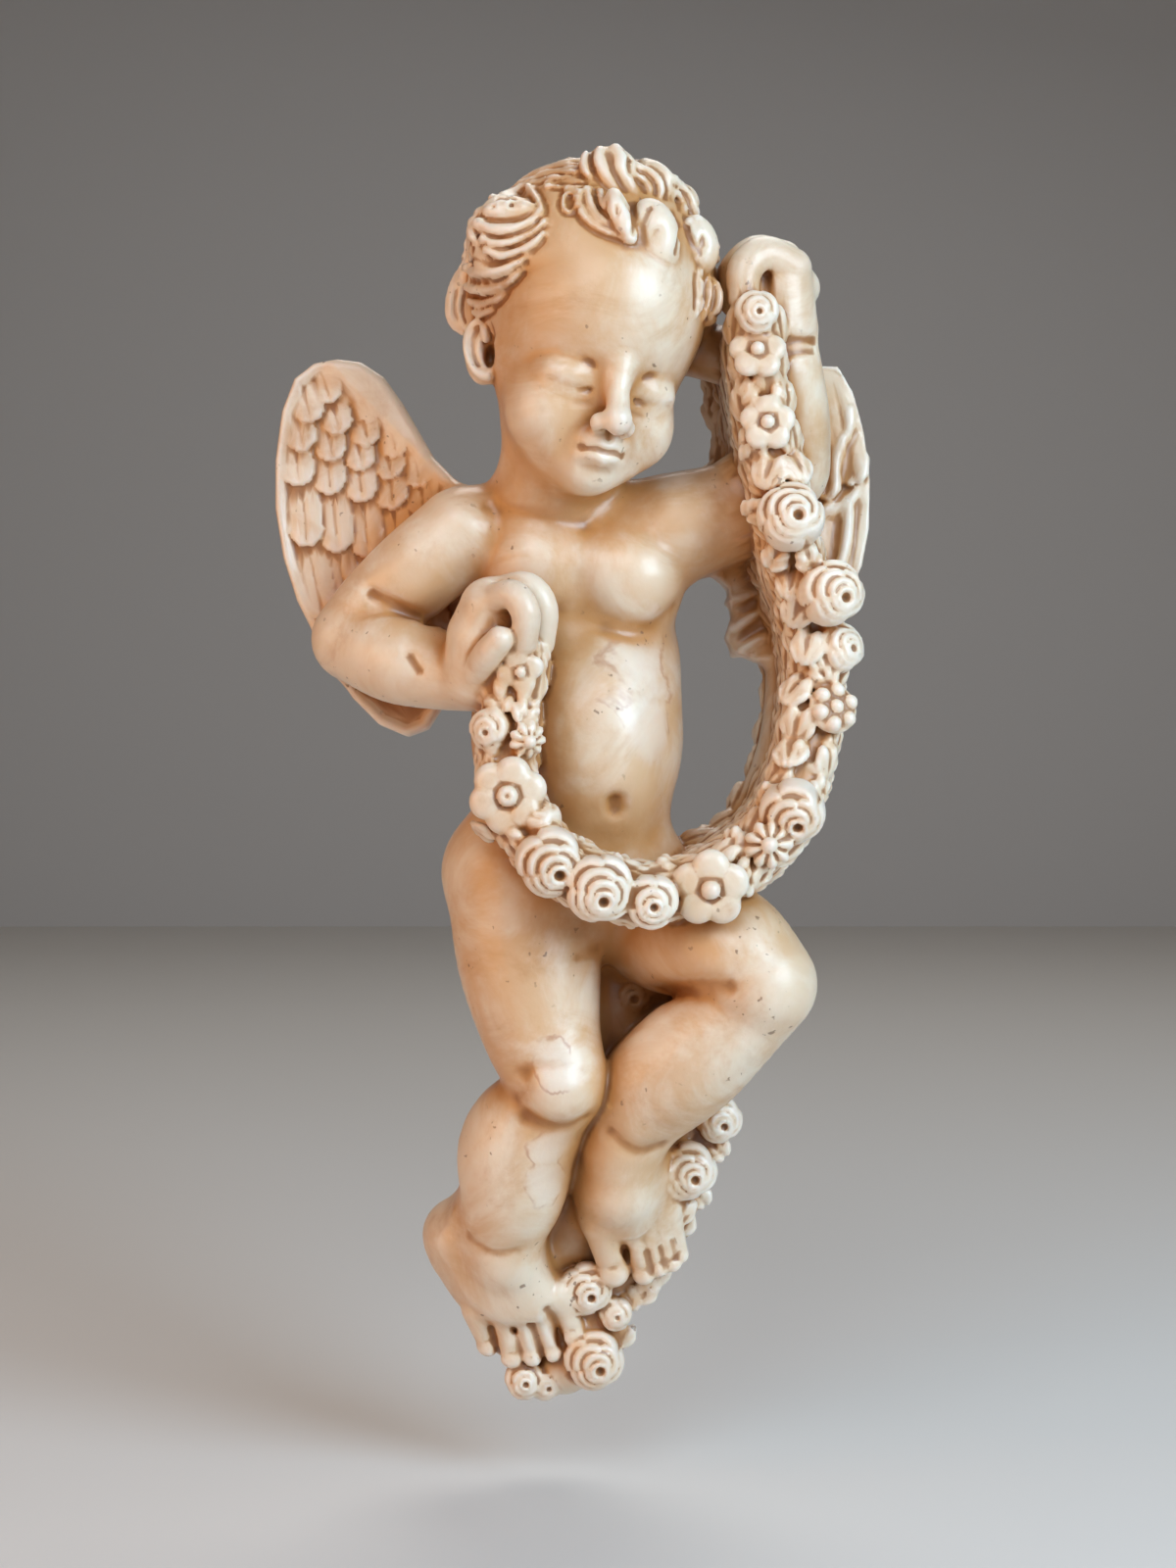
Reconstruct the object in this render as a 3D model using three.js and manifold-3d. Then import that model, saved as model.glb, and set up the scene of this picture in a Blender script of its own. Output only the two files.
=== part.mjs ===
// Cherub wall plaque: a winged infant holding a flower garland, cast in one piece with a flat back.
// Frame: X across to the viewer's right, Z up, the wall is the plane Y = 0 and the front faces -Y.
// The origin is on the flat back between the shoulders.
//
// The form is modelled as one field of signed distance on a grid. Every limb, feather, lock and
// petal is a simple body that is blended into the field, and the field's zero surface is meshed.
// Inside the sculpt, points are [across, up, out] in millimetres on a figure DRAWN_HEIGHT tall,
// where "out" is the distance from the wall. The last step scales them to the named sizes.

import * as THREE from 'three';
import { mergeVertices } from 'three/addons/utils/BufferGeometryUtils.js';
import Module from 'manifold-3d';

// driving sizes, mm
const FIGURE_HEIGHT = 302;
const RELIEF_DEPTH = 68;
const GARLAND_WIDTH = 18;
const NAIL_HOLE_DIAMETER = 7;
const NAIL_HOLE_DEPTH = 9;
const NAIL_HOLE_BELOW_ORIGIN = 24;

// the size the carving below is drawn at, and the mesh budget
const DRAWN_HEIGHT = 302;
const DRAWN_DEPTH = 68;
const DRAWN_GARLAND = 18;
const CELL = 1.3;
const TRIANGLE_BUDGET = 9200;
const WALL_SNAP = 0.35;

// small vector helpers
const plus = (a, b, t = 1) => [a[0] + b[0] * t, a[1] + b[1] * t, a[2] + b[2] * t];
const dot = (a, b) => a[0] * b[0] + a[1] * b[1] + a[2] * b[2];
const cross = (a, b) => [a[1] * b[2] - a[2] * b[1], a[2] * b[0] - a[0] * b[2], a[0] * b[1] - a[1] * b[0]];
const unit = (a) => plus([0, 0, 0], a, 1 / Math.hypot(...a));
const clamp = (v, lo, hi) => Math.min(hi, Math.max(lo, v));
const fract = (v) => v - Math.floor(v);

// The bodies. Each has a box (lo, hi) and a signed distance at(x, y, z), negative inside.

function ellipsoid(c, r) {
  return {
    lo: [c[0] - r[0], c[1] - r[1], c[2] - r[2]],
    hi: [c[0] + r[0], c[1] + r[1], c[2] + r[2]],
    at(x, y, z) {
      const a = (x - c[0]) / r[0];
      const b = (y - c[1]) / r[1];
      const d = (z - c[2]) / r[2];
      const k = Math.hypot(a, b, d);
      const g = Math.hypot(a / r[0], b / r[1], d / r[2]);
      return g < 1e-9 ? -Math.min(...r) : (k * (k - 1)) / g;
    },
  };
}

const ball = (c, r) => ellipsoid(c, [r, r, r]);

// a chain of tapering round bars through points [across, up, out, radius]
function limb(points) {
  const lo = [0, 1, 2].map((i) => Math.min(...points.map((p) => p[i] - p[3])));
  const hi = [0, 1, 2].map((i) => Math.max(...points.map((p) => p[i] + p[3])));
  const bars = points.slice(1).map((q, i) => {
    const p = points[i];
    const v = [q[0] - p[0], q[1] - p[1], q[2] - p[2]];
    return { p, v, vv: dot(v, v) || 1, grow: q[3] - p[3] };
  });
  return {
    lo,
    hi,
    at(x, y, z) {
      let best = 1e3;
      for (const { p, v, vv, grow } of bars) {
        const t = clamp(((x - p[0]) * v[0] + (y - p[1]) * v[1] + (z - p[2]) * v[2]) / vv, 0, 1);
        const d = Math.hypot(x - p[0] - v[0] * t, y - p[1] - v[1] * t, z - p[2] - v[2] * t);
        best = Math.min(best, d - p[3] - grow * t);
      }
      return best;
    },
  };
}

// a limb through few points, rounded into a smooth curve
function smoothLimb(points, steps = 3) {
  const path = new THREE.CatmullRomCurve3(points.map((p) => new THREE.Vector3(p[0], p[1], p[2])));
  const count = (points.length - 1) * steps;
  const out = [];
  for (let i = 0; i <= count; i += 1) {
    const t = i / count;
    const at = path.getPoint(t);
    const s = t * (points.length - 1);
    const k = Math.min(points.length - 2, Math.floor(s));
    const r = points[k][3] + (points[k + 1][3] - points[k][3]) * (s - k);
    out.push([at.x, at.y, at.z, r]);
  }
  return limb(out);
}

// a body drawn in its own frame, set at an origin with its axes as unit vectors
function placed(body, origin, axes) {
  const corners = [];
  for (let i = 0; i < 8; i += 1) {
    let p = origin;
    for (let k = 0; k < 3; k += 1) p = plus(p, axes[k], (i >> k) & 1 ? body.hi[k] : body.lo[k]);
    corners.push(p);
  }
  const [u, v, w] = axes;
  return {
    lo: [0, 1, 2].map((i) => Math.min(...corners.map((p) => p[i]))),
    hi: [0, 1, 2].map((i) => Math.max(...corners.map((p) => p[i]))),
    at(x, y, z) {
      const a = x - origin[0];
      const b = y - origin[1];
      const c = z - origin[2];
      return body.at(
        a * u[0] + b * u[1] + c * u[2],
        a * v[0] + b * v[1] + c * v[2],
        a * w[0] + b * w[1] + c * w[2],
      );
    },
  };
}

// below "level" a body is drawn out towards the wall, slowly where rate is small
function toWall(body, level, rate) {
  return {
    lo: [body.lo[0], body.lo[1], Math.max(-6, level + (body.lo[2] - level) / rate)],
    hi: body.hi,
    at: (x, y, z) => body.at(x, y, z < level ? level + (z - level) * rate : z),
  };
}

// The clay: a grid of distances that bodies are added to, cut from or pressed into.
class Clay {
  constructor(lo, hi, cell) {
    this.lo = lo;
    this.cell = cell;
    this.n = [0, 1, 2].map((i) => Math.ceil((hi[i] - lo[i]) / cell) + 1);
    this.field = new Float32Array(this.n[0] * this.n[1] * this.n[2]).fill(40);
  }

  work(body, margin, rule) {
    const { lo, cell, n, field } = this;
    const from = [0, 1, 2].map((i) => clamp(Math.floor((body.lo[i] - margin - lo[i]) / cell), 0, n[i]));
    const to = [0, 1, 2].map((i) => clamp(Math.ceil((body.hi[i] + margin - lo[i]) / cell) + 1, 0, n[i]));
    for (let k = from[2]; k < to[2]; k += 1) {
      for (let j = from[1]; j < to[1]; j += 1) {
        for (let i = from[0]; i < to[0]; i += 1) {
          const at = (k * n[1] + j) * n[0] + i;
          const d = body.at(lo[0] + i * cell, lo[1] + j * cell, lo[2] + k * cell);
          field[at] = rule(field[at], d);
        }
      }
    }
  }

  add(body, soft = 0.8) {
    this.work(body, soft + 3, (f, d) => {
      const h = Math.max(soft - Math.abs(f - d), 0) / soft;
      return Math.min(f, d) - (h * h * soft) / 4;
    });
  }

  cut(body, soft = 0.8) {
    this.work(body, soft + 3, (f, d) => {
      const h = Math.max(soft - Math.abs(f + d), 0) / soft;
      return Math.max(f, -d) + (h * h * soft) / 4;
    });
  }

  // a soft groove (depth above 0) or ridge (depth below 0) along a thin body
  press(body, width, depth) {
    this.work(body, width * 3, (f, d) => f + depth * Math.exp(-((Math.max(d, 0) / width) ** 2)));
  }

  value(x, y, z) {
    const { lo, cell, n, field } = this;
    const i = clamp(Math.round((x - lo[0]) / cell), 0, n[0] - 1);
    const j = clamp(Math.round((y - lo[1]) / cell), 0, n[1] - 1);
    const s = clamp((z - lo[2]) / cell, 0, n[2] - 1.001);
    const k = Math.floor(s);
    const a = field[(k * n[1] + j) * n[0] + i];
    const b = field[((k + 1) * n[1] + j) * n[0] + i];
    return a + (b - a) * (s - k);
  }

  // how far out the surface is at (x, y), seen from the front
  front(x, y) {
    let z = this.lo[2] + (this.n[2] - 2) * this.cell;
    while (z > 0 && this.value(x, y, z) > 0) z -= this.cell / 4;
    return Math.max(z, 0);
  }
}

// Torso, legs and arms. The left leg and arm are those at the viewer's left.

const BODY_LEVEL = 22;

function sculptBody(clay) {
  const trunk = (body, soft) => clay.add(toWall(body, BODY_LEVEL, 0.45), soft);
  const leg = (body, soft, level = 26) => clay.add(toWall(body, level, 0.26), soft);
  trunk(ellipsoid([-7.5, -14, 21], [24.5, 20, 18.5]), 4);
  trunk(ellipsoid([-8, -50, 20], [25.5, 33, 17]), 6);
  trunk(ellipsoid([-10, -84, 21], [29.5, 20, 18]), 8);
  trunk(ellipsoid([-7.6, -33, 20], [25, 22, 17]), 5);
  clay.add(ellipsoid([-2.4, -52, 27], [18, 28, 20.5]), 7);
  clay.add(ball([-17.5, -10.5, 29.4], 12), 7);
  clay.add(ball([5.8, -13.6, 30], 12), 7);
  trunk(limb([[-15.5, 4, 27, 13.5], [-11, 18, 35, 13]]), 5);
  trunk(limb([[-13, 1.5, 24, 9.5], [-34, -2.5, 25, 9.5]]), 6);
  trunk(limb([[0, 1, 24, 9.5], [17, -1, 24, 11]]), 6);

  const thigh = [
    [-20.5, -85, 24, 18.5], [-19.2, -104, 27, 17.3], [-16.2, -121, 30.5, 14.2], [-12.6, -131, 33.5, 12],
  ];
  leg(smoothLimb(thigh), 5);
  clay.add(ball([-11.2, -135, 35.5], 10), 4);
  const shin = [
    [-14.5, -140, 29, 11], [-21.6, -149.5, 26, 14.1], [-23, -161, 25, 12.6], [-25.6, -172.5, 22, 9],
  ];
  leg(smoothLimb(shin), 3);
  trunk(limb([[-39.4, -174.6, 15, 6.6], [-27, -176, 20, 8]]), 4);
  trunk(limb([[-28, -165, 19, 8], [-36, -173, 15, 7]]), 4);
  trunk(limb([[-37.4, -181, 13, 6.6], [-31, -191, 13, 5.4]]), 5);
  trunk(limb([[-24, -179, 20.5, 8.4], [-17, -187.4, 17.5, 6.2]]), 5);
  trunk(limb([[-31, -184, 14.5, 8], [-23.6, -189, 16, 6.4]]), 5);
  trunk(ellipsoid([-25, -186, 15], [8.5, 9, 8]), 5);

  const raised = [[2, -94, 10, 14.6], [14, -98.6, 20.4, 15], [27, -101, 37.5, 14.6], [35.8, -109.5, 44, 12]];
  leg(smoothLimb(raised), 4, 24);
  leg(limb([[10, -98, 14, 11], [29.4, -102.6, 34, 13], [35.8, -109.5, 42, 12]]), 3, 34);
  const calf = [[33.5, -114.5, 41, 11.4], [18.8, -128, 35, 14], [8, -139, 30, 12.2], [3.4, -149.5, 27, 9.8]];
  leg(smoothLimb(calf), 1.4, 31);
  leg(limb([[3.4, -150, 26, 9.4], [3, -162, 25, 9.6], [5, -167, 20.5, 7.8]]), 3);
  trunk(limb([[-2, -155, 20, 7], [-0.8, -167.6, 19.5, 6.8]]), 4);
  trunk(limb([[9, -158, 20, 7.5], [11.8, -165, 18, 6.2]]), 4);

  const shoulder = [
    [-35.5, -3, 28, 11], [-46, -12, 27.5, 11], [-55.5, -20.5, 25, 10.4], [-61.6, -27.6, 23, 10],
  ];
  clay.add(toWall(smoothLimb(shoulder), 24, 0.35), 4);
  const fore = [
    [-61.4, -28.4, 24, 9.8], [-50.6, -32.8, 31, 10.9], [-40, -36.2, 36, 9.2], [-33.5, -38, 39, 7.8],
  ];
  clay.add(toWall(smoothLimb(fore), 26, 0.35), 1.6);

  clay.add(toWall(limb([[17, -1, 25, 12.6], [30, 3, 24, 12], [41, 12, 25, 10.8]]), 24, 0.3), 5);
  const lift = [[42.6, 14, 28, 10.6], [42.6, 23.5, 33, 9.9], [41.6, 33, 37, 9], [40.7, 41.6, 38.5, 7.9]];
  clay.add(toWall(smoothLimb(lift), 30, 0.25), 3);
  clay.add(toWall(limb([[40.6, 45, 39, 8.3], [40, 53.5, 39, 8.2]]), 32, 0.3), 2.5);
}

// soft folds, creases and hollows of the body, each a groove along a thin line
function creaseBody(clay) {
  const line = (points) => limb(points.map(([x, y]) => [x, y, clay.front(x, y), 0.1]));
  const fold = (points, width, depth) => clay.press(line(points), width, depth);
  fold([[1.6, -67.2], [1.6, -70]], 1.5, 3.4);
  fold([[-3, -25.4], [4, -27], [11, -25.6], [15.5, -21]], 2.2, 1.3);
  fold([[-27, -22], [-20, -23.6], [-12, -22]], 2.4, 0.8);
  fold([[-6.5, -14], [-5.6, -30], [-4.4, -46]], 2.4, 0.9);
  fold([[-1.5, -58], [-1.8, -74]], 1.8, 0.45);
  fold([[12.4, -58], [11.2, -76]], 1.8, 0.45);
  fold([[-56, -18.2], [-47, -22.6], [-39, -26.4]], 1.5, 2);
  fold([[-46.4, -33.4], [-44.4, -36.6]], 1.2, 0.9);
  fold([[-2.6, -98], [-7, -101.5], [-11, -103]], 1.8, 1.6);
  fold([[-21, -131.4], [-16, -131], [-9, -131.6]], 1.4, 0.7);
  fold([[-18, -141.6], [-11.5, -143.4], [-5, -141.6]], 1.5, 1.5);
  fold([[-20.5, -138.6], [-12, -140.6], [-6, -139]], 1.1, 0.7);
  fold([[10, -111.4], [19, -109.6], [28, -110.4]], 1.7, 1.8);
  fold([[-1.5, -146.6], [5, -149], [12.6, -145.2]], 1.3, 1.3);
  fold([[33.6, 41.4], [40, 39.6], [48, 40.6]], 1.1, 1.1);
  fold([[34, 38.4], [40, 37], [47.6, 38]], 1, 0.7);
  fold([[-29, 2.6], [-18, 0.4], [-6, -2]], 2.2, 0.5);
  fold([[-33.6, -171.4], [-27.5, -174.8], [-19, -172.6]], 1.3, 0.8);
}

// Hands and feet: fingers and toes are small limbs

function sculptHands(clay) {
  clay.add(limb([[-31, -37.6, 43, 8], [-29.2, -28.8, 46, 8.6], [-27.4, -22.4, 47.5, 7.4]]), 2);
  const low = [
    [[-27.6, -21.2, 50.5, 3.7], [-22.2, -20, 56, 3.6], [-19.2, -24.2, 57.4, 3.5], [-19.6, -30.4, 54.4, 3.2]],
    [[-25.4, -18.4, 47, 3.6], [-19, -17.6, 49.6, 3.5], [-15.2, -22.4, 50, 3.4], [-15.6, -30.4, 47, 3]],
    [[-31, -38, 47, 4.2], [-27.8, -33.4, 54, 3.6], [-24.8, -30, 56.6, 3.2]],
  ];
  for (const finger of low) clay.add(smoothLimb(finger), 0.7);
  clay.cut(ball([-23.8, -25.4, 56], 2.3), 0.6);
  const high = [
    [[42.4, 57.4, 42, 5], [36, 59.8, 45, 4.6], [31.4, 56, 47, 4.2], [31, 49.4, 47, 3.7]],
    [[41, 60.6, 37, 4.6], [34.4, 62, 37.6, 4.2], [29, 56.6, 39, 3.8], [29.4, 49.6, 41, 3.4]],
    [[44.6, 54, 37, 5.2], [40, 60.4, 35, 4.8], [35, 60.6, 33, 4]],
  ];
  for (const finger of high) clay.add(toWall(smoothLimb(finger), 34, 0.4), 0.8);
  clay.cut(limb([[36.2, 54.8, 46, 1.6], [36.6, 48, 48, 1.6]]), 0.6);
}

function sculptToes(clay) {
  // each toe runs from its base to its tip, given as [across, up, out, radius]
  const left = [
    [[-32, -192, 15.4, 3.9], [-29.4, -200.2, 13, 2.8]],
    [[-25.8, -191, 17.4, 3.1], [-23.7, -203, 14.2, 2.6]],
    [[-21, -191, 18.4, 2.9], [-18.5, -202.6, 15, 2.4]],
    [[-16.8, -190, 19, 2.8], [-13.7, -201.6, 15.4, 2.3]],
    [[-11.6, -187, 19.4, 3.2], [-8.7, -196.8, 16.2, 2.9]],
  ];
  const right = [
    [[-1.4, -170, 22, 4.8], [1.3, -181, 19, 3.6]],
    [[5.4, -169.6, 22.6, 3], [8.7, -182.2, 18.8, 2.3]],
    [[9.2, -169, 22, 2.7], [12.2, -181, 18.6, 2.1]],
    [[12.4, -167.8, 21.2, 2.5], [15.5, -181.2, 17.8, 2]],
    [[15, -166.4, 20, 2.4], [17.6, -177.4, 17, 2]],
  ];
  for (const [base, tip] of [...left, ...right]) {
    const r = tip[3];
    clay.add(toWall(limb([base, tip]), 13, 0.5), 0.9);
    clay.add(ball(plus(tip, [0, -0.6, 0.5]), r * 1.06), 0.5);
  }

  // the mass the left foot's toes rest on
  clay.add(toWall(limb([[-30.4, -196, 8, 4.6], [-24, -200.4, 9, 5], [-14, -199, 9, 6]]), 8, 0.4), 1);
}

// Wings: a dished plate bounded by a drawn outline, feathered in rows along arcs

function outline(points) {
  const rows = points.map((p, i) => [p, points[(i + 1) % points.length]]);
  return (x, y) => {
    let near = 1e9;
    let inside = false;
    for (const [a, b] of rows) {
      const ex = b[0] - a[0];
      const ey = b[1] - a[1];
      const t = clamp(((x - a[0]) * ex + (y - a[1]) * ey) / (ex * ex + ey * ey), 0, 1);
      near = Math.min(near, (x - a[0] - ex * t) ** 2 + (y - a[1] - ey * t) ** 2);
      if (a[1] > y !== b[1] > y && x < a[0] + (ex * (y - a[1])) / ey) inside = !inside;
    }
    return Math.sqrt(near) * (inside ? -1 : 1);
  };
}

// height of overlapped feathers, each given by its root, its tip and half its width
function feathers(x, y, plumes) {
  let top = 0;
  for (const [root, tip, half] of plumes) {
    const length = Math.hypot(tip[0] - root[0], tip[1] - root[1]);
    const ex = (tip[0] - root[0]) / length;
    const ey = (tip[1] - root[1]) / length;
    const along = (x - root[0]) * ex + (y - root[1]) * ey;
    const across = (x - root[0]) * ey - (y - root[1]) * ex;
    const past = Math.max(along - length + half, 0);
    if (along < 0 || Math.hypot(past, across) > half) continue;
    const rise = 0.2 + 1.7 * clamp(along / length, 0, 1);
    const vault = 0.55 * (across / half) ** 2 + (0.3 * across) / half;
    top = Math.max(top, rise - vault);
  }
  return top;
}

// feathers side by side, from the first tip to the last, all of one length, half width and lean
function rowsOfFeathers(rows) {
  const plumes = [];
  for (const { first, last, count, length, half, lean } of rows) {
    for (let i = 0; i < count; i += 1) {
      const t = i / (count - 1);
      const tip = [first[0] + (last[0] - first[0]) * t, first[1] + (last[1] - first[1]) * t];
      const root = [tip[0] - length * lean, tip[1] + length * Math.sqrt(1 - lean * lean)];
      plumes.push([root, tip, half]);
    }
  }
  return plumes;
}

function wing(clay, drawn) {
  const edge = outline(drawn.edge);
  const xs = drawn.edge.map((p) => p[0]);
  const ys = drawn.edge.map((p) => p[1]);
  const [rootX, rootY, rootWide, rootHigh] = drawn.root;
  const body = {
    lo: [Math.min(...xs), Math.min(...ys), -6],
    hi: [Math.max(...xs), Math.max(...ys), rootHigh + 16],
    at(x, y, z) {
      const rim = edge(x, y);
      const nearRoot = Math.exp(-((x - rootX) ** 2 + (y - rootY) ** 2) / rootWide ** 2);
      const lead = clamp((drawn.lead(x, y) + 3) / 6, 0, 1);
      const smooth = Math.max(lead, clamp((rim + 3.6) / 2.4, 0, 1));
      const relief = feathers(x, y, drawn.plumes) * (1 - smooth) + (1.9 + 1.1 * lead) * smooth;
      const side = rim + 0.4;
      const roof = (z - drawn.thick - rootHigh * nearRoot - relief) * 0.9;
      const h = Math.max(2.4 - Math.abs(side - roof), 0) / 2.4;
      return Math.max(side, roof) + h * h * 0.6;
    },
  };
  clay.add(body, 2.5);
}

function sculptWings(clay) {
  wing(clay, {
    edge: [
      [-67, 42.8], [-73.1, 41.8], [-78.2, 38], [-81.4, 29.6], [-83, 17.4], [-83, 5.2], [-81, -7],
      [-77.6, -17.6], [-73.4, -26], [-69, -34], [-63.6, -42], [-57, -48.6], [-50, -51.6], [-44.6, -49.6],
      [-41, -44], [-36, -34], [-24, -20], [-22, -6], [-30, 6], [-37, 11.6], [-42.4, 17.4], [-46.6, 24.8],
      [-50.4, 31.4], [-55.2, 38.2], [-61, 42],
    ],
    root: [-34, 4, 17, 12],
    thick: 8.4,
    lead: (x, y) => 0.72 * (x + 57) + 0.69 * (y - 22) - 2,
    plumes: rowsOfFeathers([
      { first: [-68.6, 31.4], last: [-58, 27], count: 2, length: 9, half: 3.7, lean: 0.3 },
      { first: [-73.4, 26.6], last: [-52, 18], count: 4, length: 11, half: 3.9, lean: 0.25 },
      { first: [-75.4, 19.6], last: [-46, 10], count: 5, length: 11, half: 4.1, lean: 0.2 },
      { first: [-76.4, 11], last: [-45, 2.6], count: 5, length: 14, half: 4.2, lean: 0.12 },
      { first: [-74.4, -4], last: [-44, -10], count: 5, length: 20, half: 4.3, lean: 0.1 },
      { first: [-70.4, -22], last: [-42, -28], count: 5, length: 24, half: 4.3, lean: 0.22 },
      { first: [-64, -37], last: [-40, -44], count: 4, length: 24, half: 4.6, lean: 0.35 },
    ]),
  });
  wing(clay, {
    edge: [
      [34, 34], [44, 39.4], [52, 41.6], [57.6, 41.2], [61.4, 34.6], [64.2, 24.6], [65.6, 12.6], [65.4, 0.4],
      [63.6, -9], [59.6, -17.6], [53.6, -26], [44, -32], [36.4, -32.6], [30.6, -30.4], [28.8, -26.4],
      [30.4, -21.4], [29.4, -14.6], [26, -10.6], [20, -8], [16, 0], [22, 14], [30, 22],
    ],
    root: [24, 0, 14, 10],
    thick: 7.6,
    lead: () => -9,
    plumes: [
      [[56, 38], [61.4, 11.4], 4.6], [[50, 36], [54.6, 7.6], 4.2], [[46, 34], [48, 5], 4.2],
      [[63, 14], [60.4, -14], 4.2], [[58, 10], [54.4, -18], 4.2], [[52.6, 8], [48.4, -22], 4.2],
      [[52, -4], [43.6, -31.6], 4.4], [[46, -4], [36.4, -31.8], 4.4], [[40, -3], [30, -27.6], 4.4],
    ],
  });
}

// Head. Its own frame looks along +out before it is turned, nodded and tilted into place.

const HEAD_AT = [-5.1, 40.4, 37.4];
const HEAD_TURN = 0.384;
const HEAD_NOD = 0.175;
const HEAD_TILT = -0.157;
const HEAD_LEVEL = 34;
const HAIR_LOWEST = 33;

function headAxes() {
  const pose = new THREE.Matrix4().makeRotationZ(HEAD_TILT);
  pose.multiply(new THREE.Matrix4().makeRotationY(HEAD_TURN));
  pose.multiply(new THREE.Matrix4().makeRotationX(HEAD_NOD));
  return [0, 1, 2].map((i) => new THREE.Vector3().setFromMatrixColumn(pose, i).toArray());
}

function sculptHead(clay) {
  const axes = headAxes();
  const set = (body) => placed(body, HEAD_AT, axes);
  const add = (body, soft) => clay.add(set(body), soft);
  const cut = (body, soft) => clay.cut(set(body), soft);
  const press = (body, width, depth) => clay.press(set(body), width, depth);
  const both = (work) => [-1, 1].forEach(work);

  clay.add(toWall(set(ellipsoid([0, 9, -3], [26.5, 29, 28])), HEAD_LEVEL, 0.75), 2);
  clay.add(toWall(set(ellipsoid([0, -9, 4], [20, 23, 20.5])), HEAD_LEVEL, 0.75), 6);
  add(ellipsoid([0, 10, 9], [21, 20, 19.6]), 6);
  both((s) => add(ball([s * 10.2, -16.6, 13.4], 9.8), 5));
  add(ellipsoid([0, -25.6, 14], [10.5, 7, 9]), 6);
  add(ball([0, -27.4, 18.2], 5.9), 4);

  // brow, sockets and closed lids
  both((s) => cut(ellipsoid([s * 10, -6.4, 31], [7.8, 4.2, 5.2]), 4));
  both((s) => add(ellipsoid([s * 9.8, -7.6, 18.5], [7.2, 4.6, 6.4]), 2.4));
  both((s) => {
    const lash = [-5.6, -3, 0, 3, 5.6].map((a) => {
      const sag = 1.3 * (1 - (a / 6) ** 2);
      return [s * 9.8 + a, -9.4 - sag, 24.6 - 0.08 * a * a, 0.1];
    });
    press(limb(lash), 0.75, 0.9);
    const fold = [-5.4, 0, 5.4].map((a) => [s * 9.8 + a, -3.6 - 0.06 * a * a, 24.6 - 0.08 * a * a, 0.1]);
    press(limb(fold), 0.9, 0.6);
  });

  // nose
  add(limb([[0, -3.4, 25.2, 2.5], [0, -9, 26.8, 2.5], [0, -14.4, 29.6, 2.9]]), 3.4);
  add(ball([0, -15.6, 30.3], 3.1), 1.6);
  both((s) => add(ball([s * 3.1, -16.6, 27.6], 2.3), 1.4));
  both((s) => press(limb([[s * 1.6, -18.7, 29, 0.3], [s * 2.4, -18.5, 28, 0.3]]), 0.8, 1.3));

  // mouth: small lips parted by a line, dimples at the corners, dip above the chin
  add(ellipsoid([0, -22.4, 23.8], [6.2, 4.4, 3.2]), 3);
  both((s) => add(limb([[s * 0.9, -21.3, 26.5, 1.1], [s * 4.2, -22.5, 25.2, 0.6]]), 0.9));
  add(limb([[-2.2, -24.1, 25.7, 1.05], [0, -24.5, 26, 1.35], [2.2, -24.1, 25.7, 1.05]]), 0.9);
  const parting = [
    [-4.8, -22.9, 24.6, 0.1], [-2, -22.5, 26.9, 0.1], [0, -22.9, 27.3, 0.1], [2, -22.5, 26.9, 0.1],
    [4.8, -22.9, 24.6, 0.1],
  ];
  press(limb(parting), 0.7, 1.2);
  press(limb([[0, -18.8, 27.8, 0.2], [0, -20.2, 27.2, 0.2]]), 0.9, 0.5);
  both((s) => press(ball([s * 5.6, -22.9, 24.4], 0.3), 1.1, 0.8));
  press(limb([[-3, -26.4, 24.6, 0.2], [3, -26.4, 24.6, 0.2]]), 1.3, 0.7);
}

// the ear at the viewer's left, in the figure's own frame
function sculptEar(clay) {
  clay.add(toWall(ellipsoid([-29.6, 38.6, 39.4], [4.3, 7.9, 4.2]), 38, 0.6), 1.2);
  const rim = [
    [-26.6, 42.9], [-28.2, 45.1], [-31.1, 46], [-33.1, 44.2], [-33.5, 40.3], [-32.7, 36.5], [-30.5, 33.3],
    [-28.5, 31.7], [-27, 33.6],
  ].map(([x, y]) => [x, y, Math.max(clay.front(x, y), 40) - 0.1, 1.25]);
  clay.cut(ellipsoid([-29, 39.6, 45], [2.6, 5.4, 4.6]), 0.7);
  clay.add(smoothLimb(rim), 0.5);
}

// Hair: a cap on the skull, then locks that lie on it

// a lock with strands: the bar's radius ripples across its width
function lock(points, strands, ripple) {
  const core = smoothLimb(points, 4);
  const a = points[0];
  const b = points[points.length - 1];
  const along = unit([b[0] - a[0], b[1] - a[1], b[2] - a[2]]);
  const side = unit(cross(along, [0, 0, 1]));
  const wide = Math.max(...points.map((p) => p[3]));
  return {
    lo: core.lo,
    hi: core.hi,
    at(x, y, z) {
      const s = (x - a[0]) * side[0] + (y - a[1]) * side[1];
      return core.at(x, y, z) + ripple * (0.5 + 0.5 * Math.cos((s / wide) * Math.PI * strands));
    },
  };
}

// a mound with rings running round an off-centre eye, for curls and roses
function mound(r, high, spec) {
  const base = ellipsoid([0, 0, 0], [r[0], r[1], high]);
  const { eye = [0, 0], pitch, depth, twist = 1, lobes = 0 } = spec;
  return {
    lo: [-r[0] - depth, -r[1] - depth, -high],
    hi: [r[0] + depth, r[1] + depth, high + depth],
    at(x, y, z) {
      const far = Math.hypot(x - eye[0], y - eye[1]);
      const turn = Math.atan2(y - eye[1], x - eye[0]) / (2 * Math.PI);
      const s = far / pitch - turn * twist + 0.12 * Math.cos(lobes * turn * 2 * Math.PI);
      const saw = fract(s);
      const lift = saw < 0.8 ? saw / 0.8 : (1 - saw) / 0.2;
      return base.at(x, y, z) + depth * (0.55 - lift);
    },
  };
}

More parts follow.
